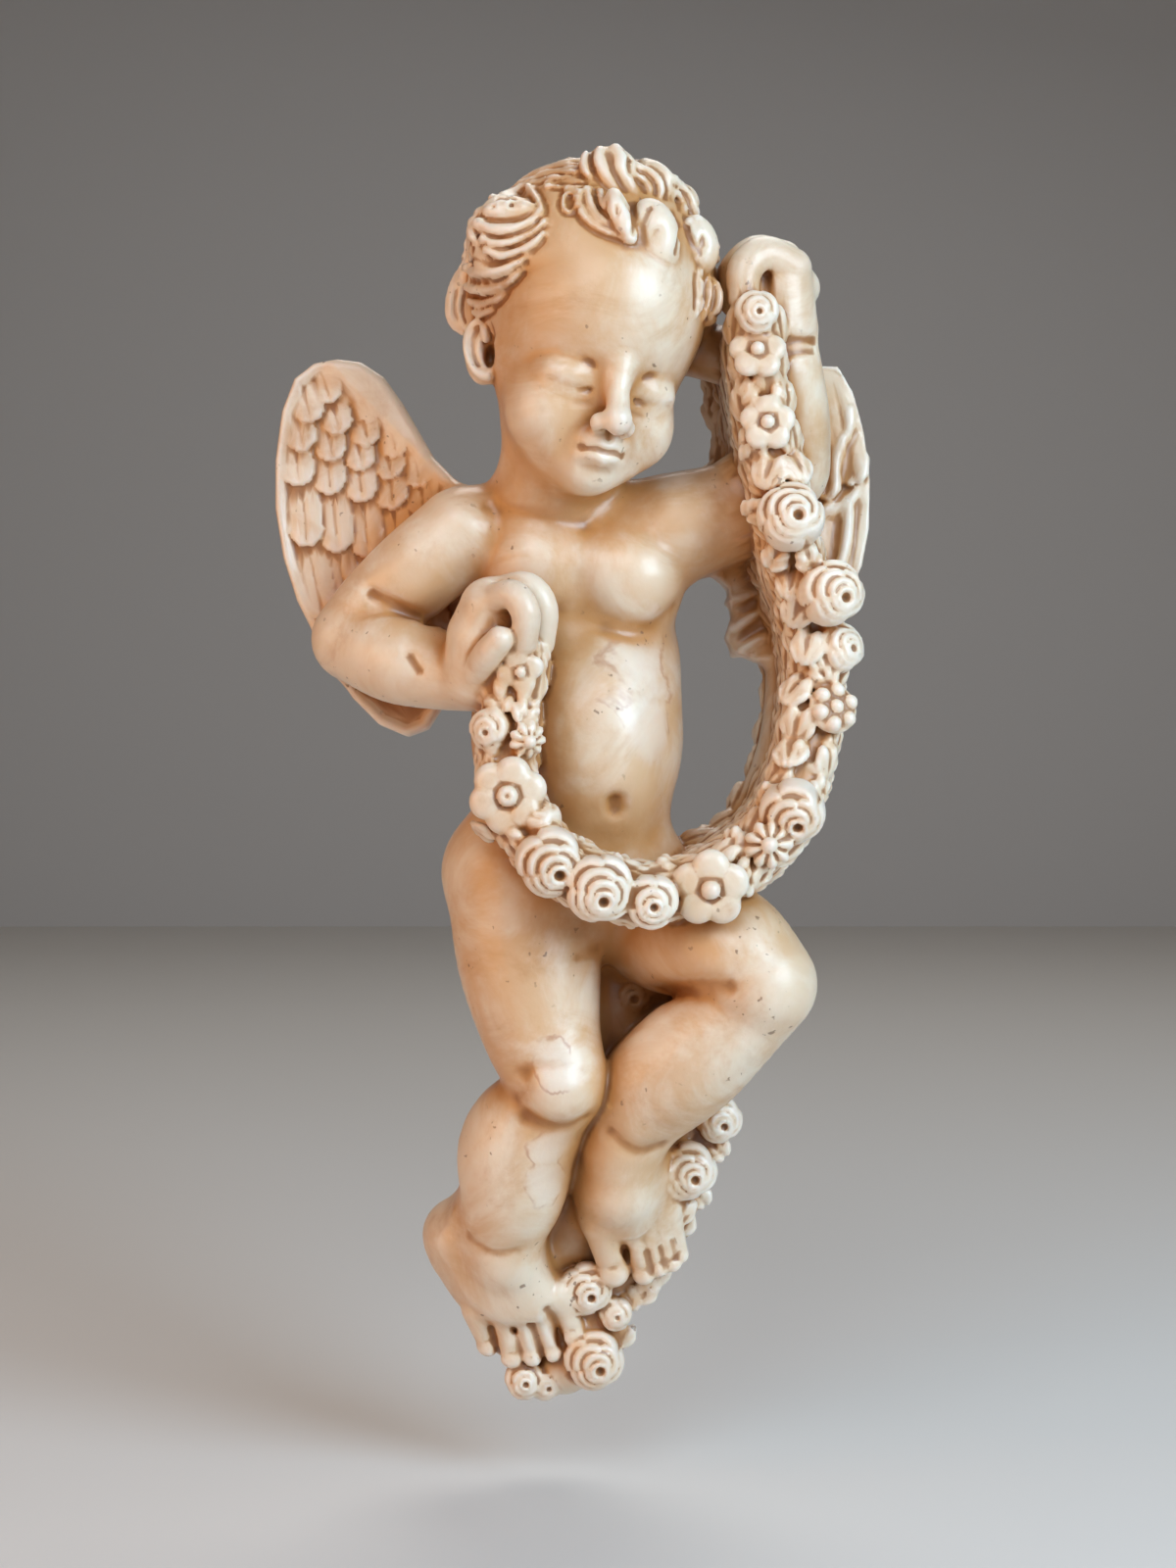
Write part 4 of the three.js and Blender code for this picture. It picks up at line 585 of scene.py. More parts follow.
def carve_ear(clay):
    clay.add(to_wall(ellipsoid((-29.6, 38.6, 39.4), (4.4, 7.9, 4.2)), 38, 0.6), 1.2)
    clay.add(ball((-28, 33.2, 41.2), 2.5), 1.2)
    rim = [(x, y, max(clay.front(x, y), 40) - 0.1, 1.05) for x, y in EAR_RIM]
    clay.cut(ellipsoid((-29.6, 38.8, 45.2), (3, 5.4, 3.4)), 0.6)
    clay.add(smooth_limb(rim), 0.5)
    ridge = [(-29.6, 42.2), (-30.4, 40.4), (-30.5, 38), (-30, 36), (-28.8, 34.2)]
    clay.add(smooth_limb([(x, y, 42, 1) for x, y in ridge]), 0.5)
    clay.cut(ellipsoid((-27.9, 37, 43), (1.5, 2.9, 4.6)), 0.4)
    furrow = [(-30.9, 43.6), (-31.9, 41.4), (-32, 39), (-31.5, 36.8), (-30.6, 35)]
    before_ear = [(-27.6, 43.4), (-26.7, 41), (-26.6, 39)]
    for points, width, depth in ((furrow, 0.7, 1.5), (before_ear, 0.6, 0.7)):
        clay.press(smooth_limb([(x, y, clay.front(x, y), 0.1) for x, y in points]), width, depth)


# hair: a cap on the skull, then strands, locks and curls that lie on it

CREASE_WIDTH = 0.5
CREASE_DEPTH = 0.8


def comb(clay, points, count=1, spread=0.0, radius=1.2, pinch=(0.6, 0.5), sink=0.3):
    """Strands side by side along a drawn line of (across, up), laid on the surface."""
    path = curved(points, 3)
    along = np.gradient(path, axis=0)
    along /= np.linalg.norm(along, axis=1)[:, None]
    side = np.stack([-along[:, 1], along[:, 0]], axis=1)
    t = np.linspace(0, 1, len(path))
    fan = np.interp(t, [0, 0.3, 0.7, 1], [pinch[0], 1, 1, pinch[1]])
    thick = radius * np.interp(t, [0, 0.2, 0.8, 1], [0.7, 1, 1, 0.6])
    strands = []
    for i in range(count):
        line = path + side * (fan * spread * (i - (count - 1) / 2))[:, None]
        r = thick * (1 + 0.14 * math.sin(2.4 * i + points[0][0]))
        depth = np.array([max(clay.front(x, y), HAIR_LOWEST) for x, y in line])
        level = np.convolve(np.pad(depth, 2, mode="edge"), np.ones(5) / 5, mode="valid")
        strands.append(limb(np.column_stack([line, np.maximum(level, depth - 1) - r * sink, r])))
    for strand in strands:
        clay.add(strand, 0.35)
    for i in range(count + 1 if spread else 2):
        reach = spread * (i - count / 2) if spread else radius * (2.1 * i - 1.05)
        line = (path + side * (fan * reach)[:, None])[1:-1]
        clay.press(laid(clay, line, 0.05), CREASE_WIDTH, CREASE_DEPTH)


# combed strands: points (across, up), how many, how far apart, radius
STRANDS_BACK = [
    ([(-20.4, 79.4), (-16.4, 81.2), (-11, 82), (-6.8, 81.8)], 2, 1.9, 1.2),
    ([(-20.4, 77.6), (-15.6, 79), (-11, 79.2), (-7, 78.8)], 2, 1.9, 1.15),
    ([(-18.8, 76), (-13.4, 76.6), (-9, 76), (-5.4, 74.6)], 2, 1.9, 1.15),
    ([(-14.4, 74), (-10, 73.4), (-6, 73), (-2, 72.4)], 2, 1.7, 1),
    ([(-20.4, 76.2), (-24.6, 74.8), (-28.6, 71), (-31, 66.6), (-32.6, 61.6), (-33.6, 57)], 3, 1.9, 1.25),
    ([(-20.2, 75.4), (-23, 73.2), (-26.4, 71), (-28.8, 68)], 2, 1.8, 1.1),
    ([(-19, 74.8), (-17.2, 71.4), (-15.8, 68), (-14.9, 64.4)], 1, 0, 1.1),
    ([(-29.8, 68), (-31.2, 65), (-31.2, 62), (-29.8, 60)], 1, 0, 1.3),
    ([(-33.8, 60), (-35.4, 56), (-36.6, 51.6), (-36.2, 47.6), (-34, 44.6)], 2, 2, 1.6),
]
# the big curl over the ear, from its eye down: points across and up, radius
CRESCENTS = [
    ([(-30, 64.6), (-27, 62.7), (-23, 62.1), (-19, 63.2), (-15.8, 66.4)], 1.75),
    ([(-28.8, 60.8), (-25.6, 59.2), (-21.6, 59.6), (-17.6, 61.2), (-14.9, 63.8)], 1.45),
    ([(-28, 58.2), (-24.8, 56.6), (-20.6, 57.2), (-17, 58.9), (-15, 61)], 1.45),
    ([(-33.8, 58.2), (-31, 55), (-26.6, 53.2), (-22, 54.2), (-18, 56.6)], 1.6),
    ([(-33.8, 54.2), (-30.4, 51.4), (-26, 50.6), (-22, 51.8), (-19, 54)], 1.45),
    ([(-32.8, 50.6), (-29.4, 48.6), (-25.8, 48.2), (-22.4, 50)], 1.35),
    ([(-31.8, 47.8), (-28.8, 46.4), (-25.4, 46.8)], 1.1),
]
# the three waves at the front of the crown: points across and up, radius
WAVES = [
    ([(-5.2, 80.6), (-5.8, 78.4), (-5.2, 76), (-3.4, 73.8)], 1.5),
    ([(-2.2, 81.4), (-2.4, 78.8), (-1.4, 75.8), (0.4, 73), (1.6, 71.2)], 2),
    ([(1.3, 81.6), (2.4, 79.2), (2.6, 76.6), (3.9, 73.8), (5.3, 71.6)], 2),
    ([(5.8, 81), (9.4, 79.5), (12.8, 76.8), (14.3, 73.8), (13.9, 71)], 1.5),
    ([(5.8, 78.4), (8.6, 77.2), (11, 75), (11.7, 72.8), (11.2, 70.8)], 1.4),
    ([(5.8, 75.8), (7.8, 74.6), (9, 72.9), (9, 71)], 1.3),
    ([(14.8, 76), (17.6, 73.8), (19.3, 71), (19.9, 68.4)], 1.5),
    ([(15.4, 73), (16.8, 71.4), (17.2, 69.6), (17.2, 68)], 1.3),
]
FRINGE = [
    ([(-9.6, 71.4), (-7.2, 70.6), (-6.9, 67.6), (-5.4, 64.6), (-2.6, 62), (1, 60.2), (4.4, 59.3)], 1.6),
    ([(-5.2, 71.4), (-4.6, 68.2), (-3.4, 65.4), (-1.2, 63.2), (1.6, 61.6)], 1.5),
    ([(-2.2, 71), (-1.8, 68.4), (-0.6, 66), (1, 64.4)], 1.3),
    ([(0.8, 69), (1.6, 65.6), (3, 62), (4.6, 59.2)], 2.4),
    ([(20.6, 54.4), (20.4, 51), (20.6, 47.6), (19.6, 44.4)], 1.2),
    ([(22.8, 54.2), (23, 50.6), (22.6, 47), (21.2, 44.2)], 1.3),
    ([(24.8, 52.6), (25.3, 49.6), (24.8, 46.8), (23.2, 44.8)], 1.2),
]


def ring_of(x, y, wide, high, start=0.0):
    """Points (across, up) round an oval, closed."""
    angles = start + np.linspace(0, 2 * math.pi, 10)
    return [(x + wide * math.cos(a), y + high * math.sin(a)) for a in angles]


# combed ridges round the back of the head, that fade out towards the face
RIDGE_HIGH = 0.45
RIDGE_TURNS = 2.1
RIDGE_END = 4
RIDGE_FADE = 8


def carve_hair(clay):
    skull = ellipsoid((0, 10, -4), (29.6, 33.2, 30))

    def cap(x, y, z):
        fade = np.clip((RIDGE_END - z) / RIDGE_FADE, 0, 1)
        combed = np.cos(RIDGE_TURNS * z + 1.4 * np.sin(0.22 * y)) * fade
        shell = skull.at(x, y, z) + RIDGE_HIGH * combed
        edge = np.maximum(13 + 0.006 * x * x + 0.675 * (z - 17.5), 6)
        hairline = 0.83 * (edge - y)
        return np.maximum(shell, hairline) + smooth_gap(shell, hairline, 3)

    hair_cap = placed(Body((-31, -24, -33), (31, 45, 27), cap), HEAD_AT, head_axes())
    clay.add(to_wall(hair_cap, HEAD_LEVEL, 0.75), 1.2)
    clay.add(ellipsoid((-12.4, 74.6, 35), (10, 7.6, 10)), 2)
    clay.add(to_wall(ellipsoid((-29, 49, 34), (5.4, 9, 6)), 34, 0.6), 1.5)
    clay.add(to_wall(limb([(17, 45, 21, 8), (25, 41.5, 23, 7), (32, 38, 24, 6)]), 20, 0.4), 2)

    def bulge(x, y, radii, high, toward=(0, 0, 1), soft=1.2, lean=0.0):
        z = max(clay.front(x, y), HAIR_LOWEST)
        up = (math.sin(lean), math.cos(lean), 0)
        lump = ellipsoid((0, 0, 0), (*radii, high))
        clay.add(placed(lump, (x, y, z - high * 0.3), facing(toward, up)), soft)

    def dent(x, y, radii, deep):
        clay.cut(ellipsoid((x, y, clay.front(x, y) + deep * 0.4), (*radii, deep * 1.4)), 0.4)

    def groove(points, width, depth):
        clay.press(laid(clay, points), width, depth)

    # crown and the curl over the ear
    bulge(-23.8, 61.4, (8.8, 10.4), 5, (-0.3, 0.1, 0.95), 2)
    bulge(-0.2, 76.4, (7, 7), 5, (0, 0.4, 0.9), 2, -0.2)
    bulge(9.4, 75, (5.6, 5.6), 3.8, (0.1, 0.5, 0.85), 1)
    bulge(17, 72, (4, 4.8), 3.4, (0.3, 0.4, 0.85), 1)
    for points, count, spread, radius in STRANDS_BACK:
        comb(clay, points, count, spread, radius)
    bulge(-22.6, 67.2, (6.4, 2.7), 2.6, (-0.1, 0.1, 1), 0.4)
    for points, radius in CRESCENTS:
        comb(clay, points, radius=radius, sink=0.1)
    comb(clay, ring_of(-22.3, 68.2, 1.5, 1.2), radius=0.6)
    dent(-22.3, 68.2, (0.8, 0.7), 1.3)
    dent(-26.4, 67.9, (0.6, 0.5), 1)
    groove([(-20.4, 74.2), (-20.6, 71.4)], 0.9, 1.3)
    for points, radius in WAVES:
        comb(clay, points, radius=radius, pinch=(0.8, 0.8), sink=0.75)
    groove([(4.2, 81.6), (4.2, 78.6), (4.6, 75.6)], 0.6, 1.2)
    groove([(-4.2, 81.6), (-4.2, 78.6), (-3.6, 76)], 0.5, 1)

    # locks that hang over the forehead and the temple
    bulge(2.2, 62.8, (4.2, 7), 3.6, (0, 0, 1), 0.6, -0.35)
    bulge(9.8, 60.8, (6, 8.6), 4.8, (0.1, -0.1, 1), 0.8, -0.25)
    bulge(20.2, 61, (5.2, 7), 4.2, (0.45, 0, 0.9), 0.6, -0.25)
    bulge(22.8, 49.2, (3.6, 6), 3.6, (0.7, 0, 0.7), 0.6)
    for points, radius in FRINGE:
        comb(clay, points, radius=radius, sink=0.2)
    comb(clay, ring_of(-9.2, 68.4, 1.5, 2.5, 0.4), radius=0.9)
    groove([(5.2, 68), (5, 64), (5.4, 60)], 0.8, 1.2)
    groove([(11.6, 68.4), (8.6, 65.6), (7.4, 62), (8, 58.6)], 0.7, 0.9)
    groove([(14.8, 68), (15.6, 64.6), (15.8, 60.6), (15, 57)], 0.8, 1.2)
    dent(11, 58.6, (2.6, 3.6), 0.6)
    dent(21.8, 60.6, (1.6, 2.6), 0.8)
    dent(1.4, 65, (0.8, 2), 0.8)
    groove([(17.6, 66.6), (17.9, 63), (19.4, 60), (21, 58)], 0.5, 1.2)
    for x, y in ((18.8, 66), (20.8, 66.9), (23, 66.6), (24.6, 65), (25.4, 62.6), (25.4, 59.8)):
        clay.add(ball((x - 0.6, y - 0.4, max(clay.front(x, y), 44) - 0.5), 1.2), 0.6)


# flowers, each drawn facing +out with radius r, and every size in them a share of r

def petals(r, count, size, button, hole=0.0):
    """Plump petals that touch, dished a little, round a button with or without a hole."""
    parts = []
    disc = ellipsoid((0, 0, 0), (r * 0.8, r * 0.8, r * 0.26))
    for i in range(count):
        a = i / count * 2 * math.pi + 0.3
        x, y = r * 0.54 * math.cos(a), r * 0.54 * math.sin(a)
        parts.append((x, y, ellipsoid((x, y, r * 0.05 * (i % 2)), (r * size, r * size, r * 0.32))))
    centre = ball((0, 0, r * 0.28), r * button)
    pit = ball((0, 0, r * (0.3 + button)), r * hole)

    def at(x, y, z):
        d = disc.at(x, y, z)
        for a, b, part in parts:
            dish = np.exp(-((x - a * 1.12) ** 2 + (y - b * 1.12) ** 2) / (r * size * 0.55) ** 2)
            one = part.at(x, y, z) + r * 0.06 * dish
            d = np.minimum(d, one)
        moat = np.exp(-((np.hypot(x, y) / r - button * 1.1) / 0.07) ** 2)
        middle = centre.at(x, y, z)
        if hole:
            middle = np.maximum(middle, -pit.at(x, y, z))
        return np.minimum(d + r * 0.05 * moat, middle)

    return Body((-r * 1.08, -r * 1.08, -r * 0.45), (r * 1.08, r * 1.08, r * 0.7), at)


def rose(r, rings=((0.5, 2), (0.76, 3), (1.0, 4)), eye=(0.2, -0.24)):
    """Rings of curved petal edges round a hollow bud that is set off to one side."""
    base = ellipsoid((0, 0, 0), (r, r, r * 0.85))

    def at(x, y, z):
        bud = np.hypot(x - eye[0] * r, y - eye[1] * r) / r
        crest = np.exp(-((bud - 0.25) / 0.09) ** 2)
        for k, (radius, count) in enumerate(rings):
            off_centre = 1 - (k + 1) / len(rings)
            a, b = x - eye[0] * r * off_centre, y - eye[1] * r * off_centre
            u = 2 * fract(count * np.arctan2(b, a) / (2 * math.pi) + 0.37 * k) - 1
            past = np.hypot(a, b) / r - radius * (0.88 + 0.12 * (1 - u * u) + 0.07 * u)
            ridge = np.exp(-(past / np.where(past > 0, 0.07, 0.2)) ** 2)
            crest = np.maximum(crest, ridge * (1 - 0.3 * u ** 4))
        return base.at(x, y, z) + r * 0.19 * (0.5 - crest) + r * 0.16 * np.exp(-(bud / 0.13) ** 2)

    return Body((-r * 1.15, -r * 1.15, -r * 0.95), (r * 1.15, r * 1.15, r), at)


def berry(r, count=6):
    """Round berries packed in a ring round one more."""
    parts = [ellipsoid((0, 0, 0), (r * 0.92, r * 0.92, r * 0.32)), ball((0, 0, r * 0.3), r * 0.27)]
    for a in np.arange(count) / count * 2 * math.pi + 0.3:
        parts.append(ball((r * 0.62 * math.cos(a), r * 0.62 * math.sin(a), r * 0.2), r * 0.29))

    def at(x, y, z):
        return np.minimum.reduce([part.at(x, y, z) for part in parts])

    return Body((-r, -r, -r * 0.4), (r, r, r * 0.65), at)


def daisy(r, rays=9):
    base = ellipsoid((0, 0, 0), (r, r, r * 0.5))
    centre = ellipsoid((0, 0, r * 0.45), (r * 0.32, r * 0.32, r * 0.26))

    def at(x, y, z):
        groove = 0.24 * r * (1 - np.abs(np.cos(np.arctan2(y, x) * rays / 2)))
        return np.minimum(base.at(x, y, z) + groove, centre.at(x, y, z))

    return Body((-r, -r, -r * 0.5), (r, r, r * 0.75), at)


def leaf(r):
    """A pointed blade with a midrib and slanted veins."""
    blade = ellipsoid((0, 0, 0), (r * 0.7, r, r * 0.34))

    def at(x, y, z):
        wide = x * (1 + 0.4 * y / r)
        rib = r * 0.14 * np.exp(-(x / (r * 0.13)) ** 2)
        veins = r * 0.04 * np.cos((y - np.abs(x)) / r * 9)
        return blade.at(wide, y, z) * 0.8 + rib + veins

    return Body((-r, -r, -r * 0.4), (r, r, r * 0.4), at)


def petal(r):
    """A broad petal, hollow towards its root, with a rolled rim."""
    blade = ellipsoid((0, 0, 0), (r * 0.9, r, r * 0.42))

    def at(x, y, z):
        across, along = x / (0.6 * r), (y + 0.4 * r) / (0.95 * r)
        hollow = r * 0.16 * np.exp(-((across ** 2 + along ** 2) ** 2))
        notch = r * 0.3 * np.exp(-(x / (0.22 * r)) ** 2) * (y > 0)
        veins = r * 0.05 * np.cos(np.arctan2(x, y + 1.3 * r) * 16)
        return blade.at(x * (1.1 - 0.2 * y / r), y + notch * y / r, z) + hollow + veins

    return Body(blade.lo * 1.1, blade.hi * 1.1, at)


FLOWERS = {
    "rose": rose,
    "bud": lambda r: rose(r, ((0.6, 2), (0.95, 3)), (0.08, -0.1)),
    "five": lambda r: petals(r, 5, 0.5, 0.26),
    "pitted": lambda r: petals(r, 6, 0.46, 0.27, 0.13),
    "four": lambda r: petals(r, 4, 0.54, 0.25),
    "berry": berry,
    "daisy": daisy,
    "leaf": leaf,
    "petal": petal,
}

# the garland's core, from the low hand round to the raised hand
GARLAND_PATH = [
    (-21, -34, 47), (-23.4, -49.4, 47), (-23, -65, 49), (-14.6, -78.6, 51), (-3.4, -85.4, 52),
    (9.4, -88, 51), (23, -85.4, 49), (36.6, -76.4, 45), (44.4, -63, 41), (48.2, -48, 37),
    (49, -34, 36), (46.8, -20, 39), (42.4, -7, 43), (39.6, 6, 45), (36.8, 19, 46),
    (34.6, 32.5, 46), (33.8, 45, 46),
]

# kind, across, up, out, radius, and a turn for leaves
GARLAND_FLOWERS = [
    ("four", -20.4, -37.2, 54, 5.2, 0), ("bud", -27.4, -50.4, 52, 5, 0),
    ("daisy", -18.6, -53, 54.5, 4.6, 0), ("leaf", -18.6, -45.6, 53, 4.6, 0.6),
    ("leaf", -26, -43.6, 52, 4.6, -0.5), ("petal", -27.6, -57.6, 50, 4, 2.6),
    ("pitted", -23.2, -65.6, 56, 9.2, 0), ("bud", -15.6, -70.6, 54, 4.6, 0),
    ("petal", -29.6, -74, 50, 4, 2.2), ("rose", -13.4, -80.8, 58, 7.8, 0),
    ("rose", -2.3, -86.6, 59.5, 7.8, 0.5), ("bud", 9.4, -89.6, 58.5, 6.4, 0),
    ("petal", -7.6, -78.6, 54, 4.6, 0.4), ("petal", 3.6, -82.4, 54, 4.4, 0.2),
    ("leaf", 3.4, -93, 54, 4.8, 2.6), ("leaf", 14.6, -81.6, 53, 4.6, -0.6),
    ("five", 22.9, -86.8, 57, 8.8, 0), ("leaf", 32, -84.4, 53, 5.2, 3.6),
    ("leaf", 28.6, -77, 50, 5.2, -0.4), ("daisy", 36.4, -76.8, 54, 5.8, 0),
    ("rose", 42, -69.6, 51, 7.4, 0), ("leaf", 36.6, -66.4, 46, 4.8, 0.4),
    ("petal", 39, -60.4, 44, 5, 0.6), ("petal", 42, -55.6, 45, 5.4, 0),
    ("petal", 49, -58, 42, 5, -0.7), ("petal", 43.6, -49.6, 44, 5.2, 0.3),
    ("berry", 52.4, -45.2, 44, 6.6, 0), ("petal", 43, -41, 43, 5, 0.5),
    ("leaf", 49.6, -37.2, 44, 4.6, -0.5), ("rose", 54, -31, 42, 5.8, 0),
    ("petal", 45.8, -31.4, 45, 5, 0.2), ("petal", 43.4, -23.2, 46, 5, 0.4),
    ("rose", 51.4, -18.8, 49, 7.4, 0), ("petal", 42.2, -16.4, 47, 5, 0.1),
    ("leaf", 45.6, -10.6, 51, 4.4, -0.4), ("leaf", 38.6, -10, 49, 4.6, 0.6),
    ("rose", 41.4, -1.6, 54, 7.6, 0), ("leaf", 33.4, 0, 49, 4.4, 0.9),
    ("petal", 36.4, 8.6, 52, 5.2, 0.3), ("petal", 43.6, 9.6, 51, 4.8, -0.5),
    ("leaf", 33, 13, 50, 4.2, 0.7), ("five", 36.2, 19.8, 53, 6.4, 0),
    ("leaf", 31.6, 26.2, 50, 4.4, 0.6), ("petal", 36.6, 28, 51, 4.8, -0.2),
    ("five", 33.9, 36.2, 53, 6.6, 0), ("bud", 33.7, 45.2, 52.5, 5.2, 0),
]

BASE_FLOWERS = [
    ("rose", 5.2, -114.2, 13, 6.2, 0), ("rose", 27, -144.9, 17, 5.8, 0),
    ("rose", 19.6, -157, 20, 6.8, 0), ("leaf", 26, -152, 14, 4.6, -0.8),
    ("petal", 17.6, -167.4, 17, 4.6, 0.6), ("petal", 18.6, -171.6, 14, 3.8, 0.3),
    ("petal", 12.6, -183, 14, 4, -0.3), ("leaf", 9.4, -187, 14, 4.4, 0.4),
    ("rose", -5.4, -186.2, 18, 6.2, 0), ("bud", 1.8, -192.6, 17, 4.2, 0),
    ("petal", 5.6, -190, 14, 3.6, -0.5), ("rose", -3.4, -203.8, 17, 7.2, 0),
    ("bud", -20.6, -209.6, 13, 5, 0), ("rose", -15.4, -210.6, 12, 4.4, 0),
    ("leaf", -11.6, -178, 13, 4.6, 0.4), ("leaf", -8, -170, 12, 4.4, -0.5),
    ("petal", 11.8, -150.4, 13, 4.4, 0.5), ("leaf", 8.4, -123.6, 10, 4.6, 0.2),
    ("petal", 21, -149.6, 14, 4.4, 0.3), ("leaf", 22, -164, 13, 4.2, -0.6),
    ("bud", 10.4, -186.2, 13, 3, 0), ("petal", 3.6, -199, 13, 4, 0.4),
    ("leaf", -10, -197.4, 14, 3.8, 0.2), ("petal", -9.6, -207, 13, 3.8, 0.5),
    ("leaf", -2, -120.6, 10, 4.6, 0.9), ("bud", 9.6, -131, 10, 4, 0),
]


def plant(clay, flowers, grow, centre_of):
    """Set each flower facing away from the core or ground that centre_of names for its place."""
    for kind, x, y, z, r, turn in flowers:
        c = centre_of(x, y)
        away = unit((x - c[0], y - c[1], max(4, (z - c[2]) * 1.6)))
        up = (math.sin(turn), math.cos(turn), 0)
        seat = vec(x, y, z) - away * r * 0.12
        clay.add(placed(FLOWERS[kind](r * grow), seat, facing(away, up)), 0.4)


# leaves down the garland's flanks: how far out, how far down, tilt to the front
FLANK_LEAVES = [
    (4.4, -3.4, 0.9), (5.6, 4, 0.35), (6, 12, 0.15), (6.2, 20, 0.1), (6.6, 28, 0.3), (8.4, 35, 0.8),
]

# left of this the garland lies on the body, and only this much of its flank is free
BODY_REACH = 20
FREE_DROP = 5


def leaf_the_sides(clay, path, grow):
    """Leaves and petals down both flanks of the garland, where no flower covers it."""
    walk = rounded([(x, y, z, 0) for x, y, z in path], 3)
    for i, (p, q) in enumerate(zip(walk[:-1], walk[1:])):
        along = unit((q - p)[:2])
        for s in (-1, 1):
            out = vec(-along[1] * s, along[0] * s)
            for level, (reach, drop, tilt) in enumerate(FLANK_LEAVES):
                if p[0] < BODY_REACH and drop > FREE_DROP:
                    continue
                kind = ("leaf", "petal")[(i + level) % 2]
                x, y = p[:2] + out * reach * grow + along * (1.2 * math.sin(3.1 * i + 1.7 * level))
                up = (along[0], along[1], 0.4 * math.sin(2.3 * i + level))
                toward = (out[0], out[1], tilt)
                size = (4.9 + 0.6 * math.sin(1.9 * i + 2 * level)) * grow
                clay.add(placed(FLOWERS[kind](size), (x, y, p[2] - drop), facing(toward, up)), 0.4)


def carve_garland(clay):
    grow = GARLAND_WIDTH / DRAWN_GARLAND
    core = [(x, y, z - 0.6, 5.6 * grow) for x, y, z in GARLAND_PATH]
    clay.add(to_wall(smooth_limb(core, 2), 38, 0.12), 1)
    foot = [(x - 1.5, y + 1, 7, 8 * grow) for x, y, _ in GARLAND_PATH[5:11]]
    clay.add(to_wall(smooth_limb(foot, 2), 6, 0.3), 5)
    leaf_the_sides(clay, GARLAND_PATH, grow)

    def nearest_core(x, y):
        return min(GARLAND_PATH, key=lambda p: math.hypot(p[0] - x, p[1] - y))

    plant(clay, GARLAND_FLOWERS, grow, nearest_core)


def carve_base(clay):
    ground = [
        (1, -107, 8, 9.5), (5, -126, 7, 9.6), (16, -141, 8, 8.5), (19, -157, 8, 7.6), (13.5, -170, 7, 7),
        (4, -182, 7, 7), (-3, -192, 8, 8), (-6.6, -204, 9, 8.4), (-16, -209.4, 7, 5.8),
    ]
    clay.add(to_wall(smooth_limb(ground, 2), 8, 0.4), 2)
    clay.add(to_wall(limb([(6, -113, 8, 8), (13, -117, 8, 6.4)]), 8, 0.4), 2)
    clay.add(to_wall(smooth_limb([(-5, -112, 6, 11), (-5, -150, 6, 11), (-10, -176, 7, 9)], 2), 6, 0.4), 2)
    plant(clay, BASE_FLOWERS, 1, lambda x, y: (x, y, 0))


# from the field to a mesh

def surface(clay):
    """One point in every cell the surface crosses, joined by four-sided faces."""
    f, n = clay.field, clay.n
    inside = f < 0
    total = np.zeros((n[0] - 1, n[1] - 1, n[2] - 1, 3), dtype=np.float32)
    count = np.zeros(total.shape[:3], dtype=np.uint8)
    faces = []
    crossings = []
    for axis in range(3):
        a = [slice(None)] * 3
        b = [slice(None)] * 3
        a[axis], b[axis] = slice(None, -1), slice(1, None)
        fa, fb = f[tuple(a)], f[tuple(b)]
        hit = np.argwhere(inside[tuple(a)] != inside[tuple(b)])
        va, vb = fa[tuple(hit.T)], fb[tuple(hit.T)]
        point = hit.astype(np.float32)
        point[:, axis] += va / (va - vb)
        crossings.append((axis, hit, va < 0))
        others = [k for k in range(3) if k != axis]
        for da in (0, 1):
            for db in (0, 1):
                cell = hit.copy()
                cell[:, others[0]] -= da
                cell[:, others[1]] -= db
                good = ((cell >= 0) & (cell < n - 1)).all(1)
                at = tuple(cell[good].T)
                np.add.at(total, at, point[good])
                np.add.at(count, at, 1)
    used = count > 0
    index = np.full(used.shape, -1, dtype=np.int64)
    index[used] = np.arange(used.sum())
    points = total[used] / count[used][:, None] * clay.cell + clay.lo
    for axis, hit, front in crossings:
        p, q = (axis + 1) % 3, (axis + 2) % 3
        good = (hit[:, p] >= 1) & (hit[:, q] >= 1) & (hit[:, p] < n[p] - 1) & (hit[:, q] < n[q] - 1)
        hit, front = hit[good], front[good]
        ring = []
        for dp, dq in ((1, 1), (0, 1), (0, 0), (1, 0)):
            cell = hit.copy()
            cell[:, p] -= dp
            cell[:, q] -= dq
            ring.append(index[tuple(cell.T)])
        quad = np.stack(ring, axis=1)
        quad[~front] = quad[~front][:, ::-1]
        faces.append(quad)
    return points, np.concatenate(faces)


def box_blur(field, cells):
    """Mean of a field over a cube of 2 * cells + 1 grid steps."""
    out = field
    for axis in range(3):
        pad = [(0, 0)] * 3
        pad[axis] = (cells + 1, cells)
        total = np.cumsum(np.pad(out, pad, mode="edge"), axis=axis, dtype=np.float64)
        hi = [slice(None)] * 3
        lo = [slice(None)] * 3
        hi[axis], lo[axis] = slice(2 * cells + 1, None), slice(None, -2 * cells - 1)
        out = ((total[tuple(hi)] - total[tuple(lo)]) / (2 * cells + 1)).astype(np.float32)
    return out


def sample(field, clay, points):
    """A field's value at each point, from the eight grid points round it."""
    s = np.clip((points - clay.lo) / clay.cell, 0, clay.n - 1.001)
    k = s.astype(int)
    t = s - k
    value = 0
    for i in range(8):
        d = np.array([(i >> a) & 1 for a in range(3)])
        weight = np.prod(np.where(d, t, 1 - t), axis=1)
        value = value + weight * field[tuple((k + d).T)]
    return value


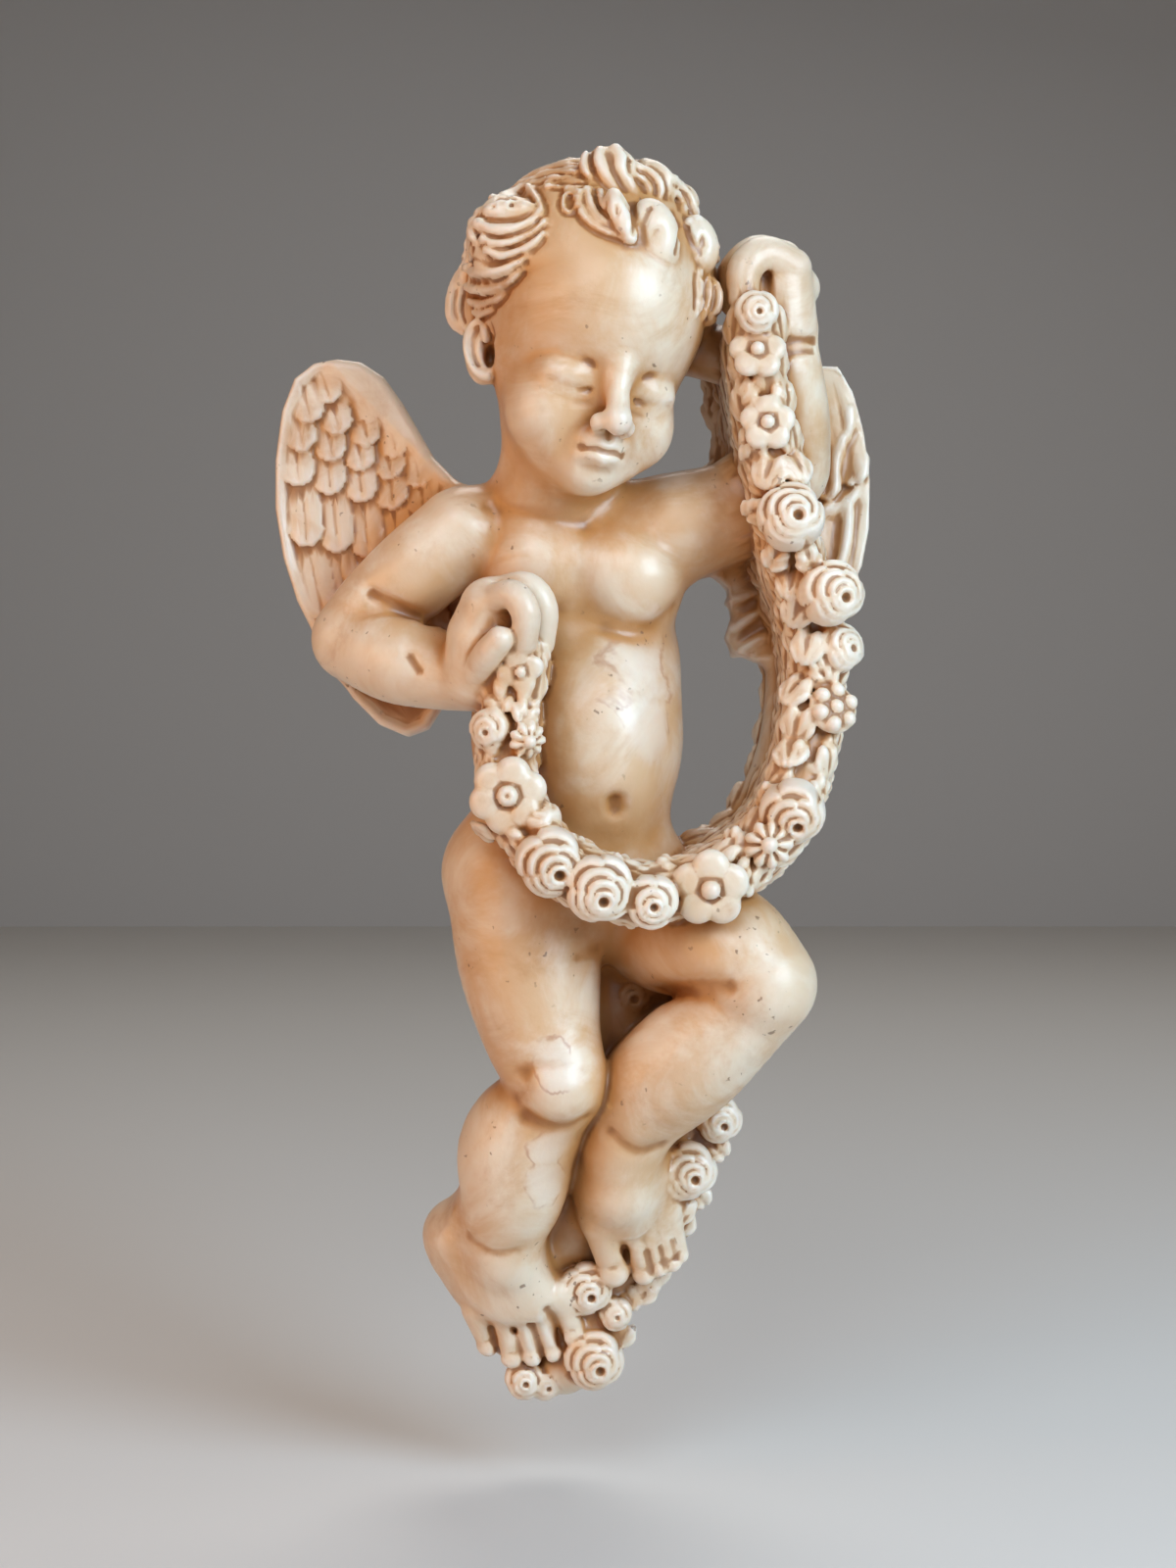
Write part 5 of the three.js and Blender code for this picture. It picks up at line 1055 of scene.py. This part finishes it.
def nail_hole():
    """The blind hole in the flat back."""
    r, deep = NAIL_HOLE_RADIUS, NAIL_HOLE_DEPTH

    def at(x, y, z):
        return np.maximum(np.hypot(x, y - NAIL_HOLE_UP) - r, z - deep)

    return Body((-r, NAIL_HOLE_UP - r, -2), (r, NAIL_HOLE_UP + r, deep), at)


def carve():
    clay = Clay((*GRID_LOW, -1.5 * CELL), GRID_HIGH, CELL)
    carve_wings(clay)
    carve_base(clay)
    carve_body(clay)
    carve_head(clay)
    carve_hair(clay)
    carve_ear(clay)
    carve_folds(clay)
    carve_toes(clay)
    carve_garland(clay)
    carve_hands(clay)
    depth = clay.lo[2] + np.arange(clay.n[2]) * CELL
    clay.field = np.maximum(clay.field, -depth[None, None, :]).astype(np.float32)
    clay.cut(nail_hole(), 0.2)
    return clay


def figure_mesh(clay):
    points, quads = surface(clay)
    mesh = bpy.data.meshes.new("cherub_figure")
    places = np.stack([points[:, 0], -points[:, 2], points[:, 1]], axis=1) / 1000
    mesh.vertices.add(len(points))
    mesh.vertices.foreach_set("co", places.astype(np.float32).ravel())
    mesh.loops.add(quads.size)
    mesh.loops.foreach_set("vertex_index", quads.astype(np.int32).ravel())
    mesh.polygons.add(len(quads))
    mesh.polygons.foreach_set("loop_start", np.arange(0, quads.size, 4, dtype=np.int32))
    mesh.update(calc_edges=True)
    mesh.validate()
    return mesh


def keep_largest(mesh):
    """Drop stray crumbs and sealed bubbles: only the largest joined surface stays."""
    count = len(mesh.vertices)
    edges = np.empty(len(mesh.edges) * 2, dtype=np.int32)
    mesh.edges.foreach_get("vertices", edges)
    edges = edges.reshape(-1, 2)
    label = np.arange(count)
    while True:
        low = np.minimum(label[edges[:, 0]], label[edges[:, 1]])
        new = label.copy()
        np.minimum.at(new, edges[:, 0], low)
        np.minimum.at(new, edges[:, 1], low)
        new = new[new]
        if (new == label).all():
            break
        label = new
    names, sizes = np.unique(label, return_counts=True)
    lost = np.nonzero(label != names[sizes.argmax()])[0]
    if len(lost):
        bm = bmesh.new()
        bm.from_mesh(mesh)
        bm.verts.ensure_lookup_table()
        bmesh.ops.delete(bm, geom=[bm.verts[i] for i in lost], context="VERTS")
        bm.to_mesh(mesh)
        bm.free()


# how hollow the form is: name, how far round a point it looks, how deep it counts
HOLLOWS = [("hollow_fine", 1.1, 3), ("hollow_broad", 3.6, 6), ("hollow_wide", 9, 12)]


def build_figure():
    clay = carve()
    mesh = figure_mesh(clay)
    keep_largest(mesh)
    figure = bpy.data.objects.new("cherub_figure", mesh)
    bpy.context.scene.collection.objects.link(figure)
    faces = sum(len(p.vertices) - 2 for p in mesh.polygons)
    if faces > TRIANGLES:
        thin = figure.modifiers.new("thin", "DECIMATE")
        thin.ratio = TRIANGLES / faces
        depsgraph = bpy.context.evaluated_depsgraph_get()
        finished = bpy.data.meshes.new_from_object(figure.evaluated_get(depsgraph))
        figure.modifiers.clear()
        figure.data = finished
    mesh = figure.data
    mesh.name = "cherub_figure"
    mesh.polygons.foreach_set("use_smooth", np.ones(len(mesh.polygons), dtype=bool))

    # stain and painted shade in the hollows follow how hollow the form is round each point
    co = np.empty(len(mesh.vertices) * 3, dtype=np.float32)
    mesh.vertices.foreach_get("co", co)
    co = co.reshape(-1, 3) * 1000
    points = np.stack([co[:, 0], co[:, 2], -co[:, 1]], axis=1)
    for name, reach, cap in HOLLOWS:
        blurred = box_blur(np.clip(clay.field, -cap, cap), max(1, round(reach / CELL)))
        layer = mesh.attributes.new(name, "FLOAT", "POINT")
        layer.data.foreach_set("value", (-sample(blurred, clay, points)).astype(np.float32))
    return figure


# the resin, in linear colour; places and radii in metres

IVORY = (0.66, 0.42, 0.23)
# cream clouds the ivory, and is also painted light on the forms that stand out
CREAM = (0.78, 0.65, 0.50)
# pale of the patches, also a painted highlight on the ridges
PALE_AND_HIGHLIGHT = (0.84, 0.76, 0.67)
# amber clouds the ivory, and is also painted shade in the hollows
AMBER = (0.50, 0.235, 0.075)
# stain in the hollows, together with painted shade there
STAIN_AND_SHADE = (0.24, 0.085, 0.022)
# painted shade in the deepest pits, with stain
DEEP_SHADE_AND_STAIN = (0.07, 0.028, 0.01)
RUST = (0.36, 0.12, 0.05)
SPECK = (0.16, 0.07, 0.03)

# pale patches on the belly, the shin, the knee and a cheek: place and radius
PATCHES = [
    ((0.010, -0.044, -0.034), 0.018), ((0.010, -0.042, -0.050), 0.013),
    ((-0.012, -0.040, -0.148), 0.008), ((-0.014, -0.038, -0.158), 0.008),
    ((-0.012, -0.046, -0.129), 0.008), ((-0.016, -0.054, 0.022), 0.006),
]


class Paint:
    """The nodes of one material, made and joined by short calls."""

    def __init__(self, name):
        self.material = bpy.data.materials.new(name)
        self.material.use_nodes = True
        self.nodes = self.material.node_tree.nodes
        self.link = self.material.node_tree.links.new
        self.nodes.clear()
        self.shader = self.nodes.new("ShaderNodeBsdfPrincipled")
        self.link(self.shader.outputs["BSDF"], self.nodes.new("ShaderNodeOutputMaterial").inputs["Surface"])
        self.place = self.nodes.new("ShaderNodeTexCoord").outputs["Object"]

    def noise(self, scale, detail=4.0, rough=0.55, distort=0.0):
        node = self.nodes.new("ShaderNodeTexNoise")
        node.inputs["Scale"].default_value = scale
        node.inputs["Detail"].default_value = detail
        node.inputs["Roughness"].default_value = rough
        node.inputs["Distortion"].default_value = distort
        self.link(self.place, node.inputs["Vector"])
        return node.outputs["Fac"]

    def attribute(self, name):
        node = self.nodes.new("ShaderNodeAttribute")
        node.attribute_name = name
        return node.outputs["Fac"]

    def distance(self, spot):
        node = self.nodes.new("ShaderNodeVectorMath")
        node.operation = "DISTANCE"
        self.link(self.place, node.inputs[0])
        node.inputs[1].default_value = spot
        return node.outputs["Value"]

    def span(self, value, low, high, to_low=0.0, to_high=1.0):
        """A smooth step of the value from low to high; low may be the larger one."""
        node = self.nodes.new("ShaderNodeMapRange")
        node.interpolation_type = "SMOOTHSTEP"
        sockets = ("From Min", "From Max", "To Min", "To Max")
        for socket, number in zip(sockets, (low, high, to_low, to_high)):
            node.inputs[socket].default_value = number
        self.link(value, node.inputs["Value"])
        return node.outputs["Result"]

    def maths(self, kind, a, b=0):
        node = self.nodes.new("ShaderNodeMath")
        node.operation = kind
        for socket, value in zip(node.inputs, (a, b)):
            if isinstance(value, (int, float)):
                socket.default_value = value
            else:
                self.link(value, socket)
        return node.outputs["Value"]

    def times(self, a, b):
        return self.maths("MULTIPLY", a, b)

    def mix(self, under, over, amount):
        node = self.nodes.new("ShaderNodeMix")
        node.data_type = "RGBA"
        for name, value in (("A", under), ("B", over)):
            socket = [s for s in node.inputs if s.name == name and s.type == "RGBA"][0]
            if isinstance(value, tuple):
                socket.default_value = (*value, 1)
            else:
                self.link(value, socket)
        self.link(amount, node.inputs["Factor"])
        return [s for s in node.outputs if s.type == "RGBA"][0]


def cast_colour_and_painted_light(paint, fine, wide, uneven):
    """Ivory clouded with cream and amber, painted light in lighter cream on the forms that stand out, and a
    painted highlight in pale on the ridges.
    """
    span = paint.span
    colour = paint.mix(IVORY, CREAM, span(paint.noise(38, 5, 0.6, 0.8), 0.38, 0.62))
    # painted light: lighter cream on the forms that stand out
    colour = paint.mix(colour, CREAM, span(wide, -0.6, -2.6, 0, 0.6))
    colour = paint.mix(colour, AMBER, span(paint.noise(30, 6, 0.62, 1.4), 0.50, 0.72, 0, 0.5))
    # painted highlight: pale on the ridges
    return paint.mix(colour, PALE_AND_HIGHLIGHT, paint.times(span(fine, -0.05, -0.3, 0, 0.75), uneven))


def pale_patches(paint, colour):
    """Pale patches with a ragged edge and a broken rusty rim."""
    field = None
    for spot, radius in PATCHES:
        near = paint.maths("SUBTRACT", 1.0, paint.maths("DIVIDE", paint.distance(spot), radius))
        field = near if field is None else paint.maths("MAXIMUM", field, near)
    ragged = paint.times(paint.maths("SUBTRACT", paint.noise(70, 4, 0.55, 0.6), 0.5), 1.5)
    field = paint.maths("ADD", field, ragged)
    colour = paint.mix(colour, PALE_AND_HIGHLIGHT, paint.span(field, 0.1, 0.6, 0, 0.45))
    from_rim = paint.maths("ABSOLUTE", paint.maths("SUBTRACT", field, 0.3))
    rim = paint.maths("SUBTRACT", 1.0, paint.span(from_rim, 0.0, 0.09))
    return paint.mix(colour, RUST, paint.times(rim, paint.span(paint.noise(110, 3), 0.46, 0.62, 0, 0.5)))


def stain_and_painted_shade(paint, colour, fine, broad, wide, uneven):
    """Painted shade in amber and brown that deepens from the wide hollows to the fine ones, with stain in the
    broad and fine hollows as well, and a few dark specks.
    """
    mix, span, times = paint.mix, paint.span, paint.times
    # painted shade: amber in the wide and broad hollows
    colour = mix(colour, AMBER, times(span(wide, -1.4, 1.3, 0, 0.95), uneven))
    colour = mix(colour, AMBER, span(broad, 0.0, 0.6, 0, 0.85))
    # stain and painted shade: amber and brown in the fine and broad hollows
    colour = mix(colour, AMBER, span(fine, 0.0, 0.14, 0, 0.55))
    colour = mix(colour, STAIN_AND_SHADE, times(span(broad, 0.5, 1.5, 0, 0.75), uneven))
    colour = mix(colour, STAIN_AND_SHADE, times(span(fine, 0.05, 0.26, 0, 0.9), uneven))
    # painted shade with stain: near black in the deepest pits
    colour = mix(colour, DEEP_SHADE_AND_STAIN, times(span(fine, 0.3, 0.9, 0, 0.55), uneven))
    in_places = span(paint.noise(45, 3), 0.45, 0.6, 0, 0.7)
    return mix(colour, SPECK, times(span(paint.noise(420, 2, 0.5), 0.68, 0.74), in_places))


def resin():
    paint = Paint("cast_resin")
    fine, broad, wide = (paint.attribute(name) for name, _, _ in HOLLOWS)
    uneven = paint.span(paint.noise(90, 5), 0.3, 0.7, 0.55, 1.0)
    # the resin's tone with painted light on bulges and ridges, then stain and painted shade in the hollows
    colour = pale_patches(paint, cast_colour_and_painted_light(paint, fine, wide, uneven))
    colour = stain_and_painted_shade(paint, colour, fine, broad, wide, uneven)
    waxed = paint.span(paint.noise(70, 4), 0.3, 0.7, 0.32, 0.46)
    dull = paint.times(paint.span(fine, 0.1, 0.6), 0.25)

    sockets = paint.shader.inputs
    paint.link(colour, sockets["Base Color"])
    paint.link(paint.maths("ADD", waxed, dull), sockets["Roughness"])
    sockets["Subsurface Weight"].default_value = 0.15
    sockets["Subsurface Radius"].default_value = (0.004, 0.002, 0.001)
    sockets["Subsurface Scale"].default_value = 0.5
    sockets["Coat Weight"].default_value = 0.22
    sockets["Coat Roughness"].default_value = 0.2
    sockets["IOR"].default_value = 1.5

    bump = paint.nodes.new("ShaderNodeBump")
    bump.inputs["Strength"].default_value = 0.25
    bump.inputs["Distance"].default_value = 0.0006
    grain = paint.maths("ADD", paint.noise(260, 5, 0.6), paint.times(paint.noise(60, 3), 1.5))
    paint.link(grain, bump.inputs["Height"])
    paint.link(bump.outputs["Normal"], sockets["Normal"])
    return paint.material


# stage, light and camera, in metres

LAMPS_AIM = (0, 0, -0.05)
CAMERA_AT = (-0.00494, -0.580, -0.06296)
SENSOR_WIDTH = 36
FOCAL_LENGTH = 52.85
STAGE_SIZE = 8
FLOOR_GAP = 0.02
BACKDROP_BEHIND = 2.2


def plain(name, colour, rough):
    material = bpy.data.materials.new(name)
    material.use_nodes = True
    shader = material.node_tree.nodes["Principled BSDF"]
    shader.inputs["Base Color"].default_value = (*colour, 1)
    shader.inputs["Roughness"].default_value = rough
    return material


def stage():
    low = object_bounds()[0][2]
    bpy.ops.mesh.primitive_plane_add(size=STAGE_SIZE, location=(0, 0, low - FLOOR_GAP))
    floor = bpy.context.object
    floor.name = "floor"
    floor.data.materials.append(plain("pale_floor", (0.72, 0.71, 0.69), 0.9))
    floor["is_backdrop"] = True
    upright = (math.radians(90), 0, 0)
    bpy.ops.mesh.primitive_plane_add(size=STAGE_SIZE, location=(0, BACKDROP_BEHIND, 0), rotation=upright)
    back = bpy.context.object
    back.name = "backdrop"
    back.data.materials.append(plain("pale_backdrop", (0.62, 0.62, 0.62), 0.95))
    back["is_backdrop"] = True


def lamp(name, place, power, size, colour):
    light = bpy.data.lights.new(name, "AREA")
    light.energy = power
    light.size = size
    light.color = colour
    holder = bpy.data.objects.new(name, light)
    bpy.context.scene.collection.objects.link(holder)
    holder.location = place
    holder.rotation_euler = (Vector(LAMPS_AIM) - Vector(place)).to_track_quat("-Z", "Y").to_euler()


def lights_and_camera():
    lamp("window", (0.62, -0.66, 0.28), 10, 0.55, (0.64, 0.83, 1.0))
    lamp("sky", (-0.2, -0.8, 0.5), 3, 0.5, (0.85, 0.93, 1.0))
    lamp("warm_fill", (-0.8, -0.5, 0.0), 4, 0.7, (1.0, 0.44, 0.14))
    lamp("room", (0.2, 0.9, 1.6), 10, 1.0, (1.0, 0.97, 0.93))
    world = bpy.data.worlds.new("soft_room")
    world.use_nodes = True
    world.node_tree.nodes["Background"].inputs["Color"].default_value = (1.0, 0.72, 0.45, 1)
    world.node_tree.nodes["Background"].inputs["Strength"].default_value = 0.07
    bpy.context.scene.world = world
    lens = bpy.data.cameras.new("camera")
    lens.sensor_width = SENSOR_WIDTH
    lens.lens = FOCAL_LENGTH
    camera = bpy.data.objects.new("camera", lens)
    bpy.context.scene.collection.objects.link(camera)
    camera.location = CAMERA_AT
    camera.rotation_euler = (math.radians(90), 0, 0)
    bpy.context.scene.camera = camera
    bpy.context.scene.view_settings.view_transform = "Standard"


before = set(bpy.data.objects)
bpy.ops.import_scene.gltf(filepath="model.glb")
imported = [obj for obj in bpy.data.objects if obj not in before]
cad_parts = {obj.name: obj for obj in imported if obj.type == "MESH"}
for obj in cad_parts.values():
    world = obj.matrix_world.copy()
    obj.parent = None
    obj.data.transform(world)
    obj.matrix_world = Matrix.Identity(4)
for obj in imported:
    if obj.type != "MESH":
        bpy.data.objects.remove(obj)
cad_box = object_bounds()
stage()
lights_and_camera()
figure = build_figure()
figure.data.materials.append(resin())
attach(figure, "root")
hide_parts("cherub_plaque")

boxes = {"cad": cad_box, "visual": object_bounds()}
{name: [list(map(float, corner)) for corner in box] for name, box in boxes.items()}
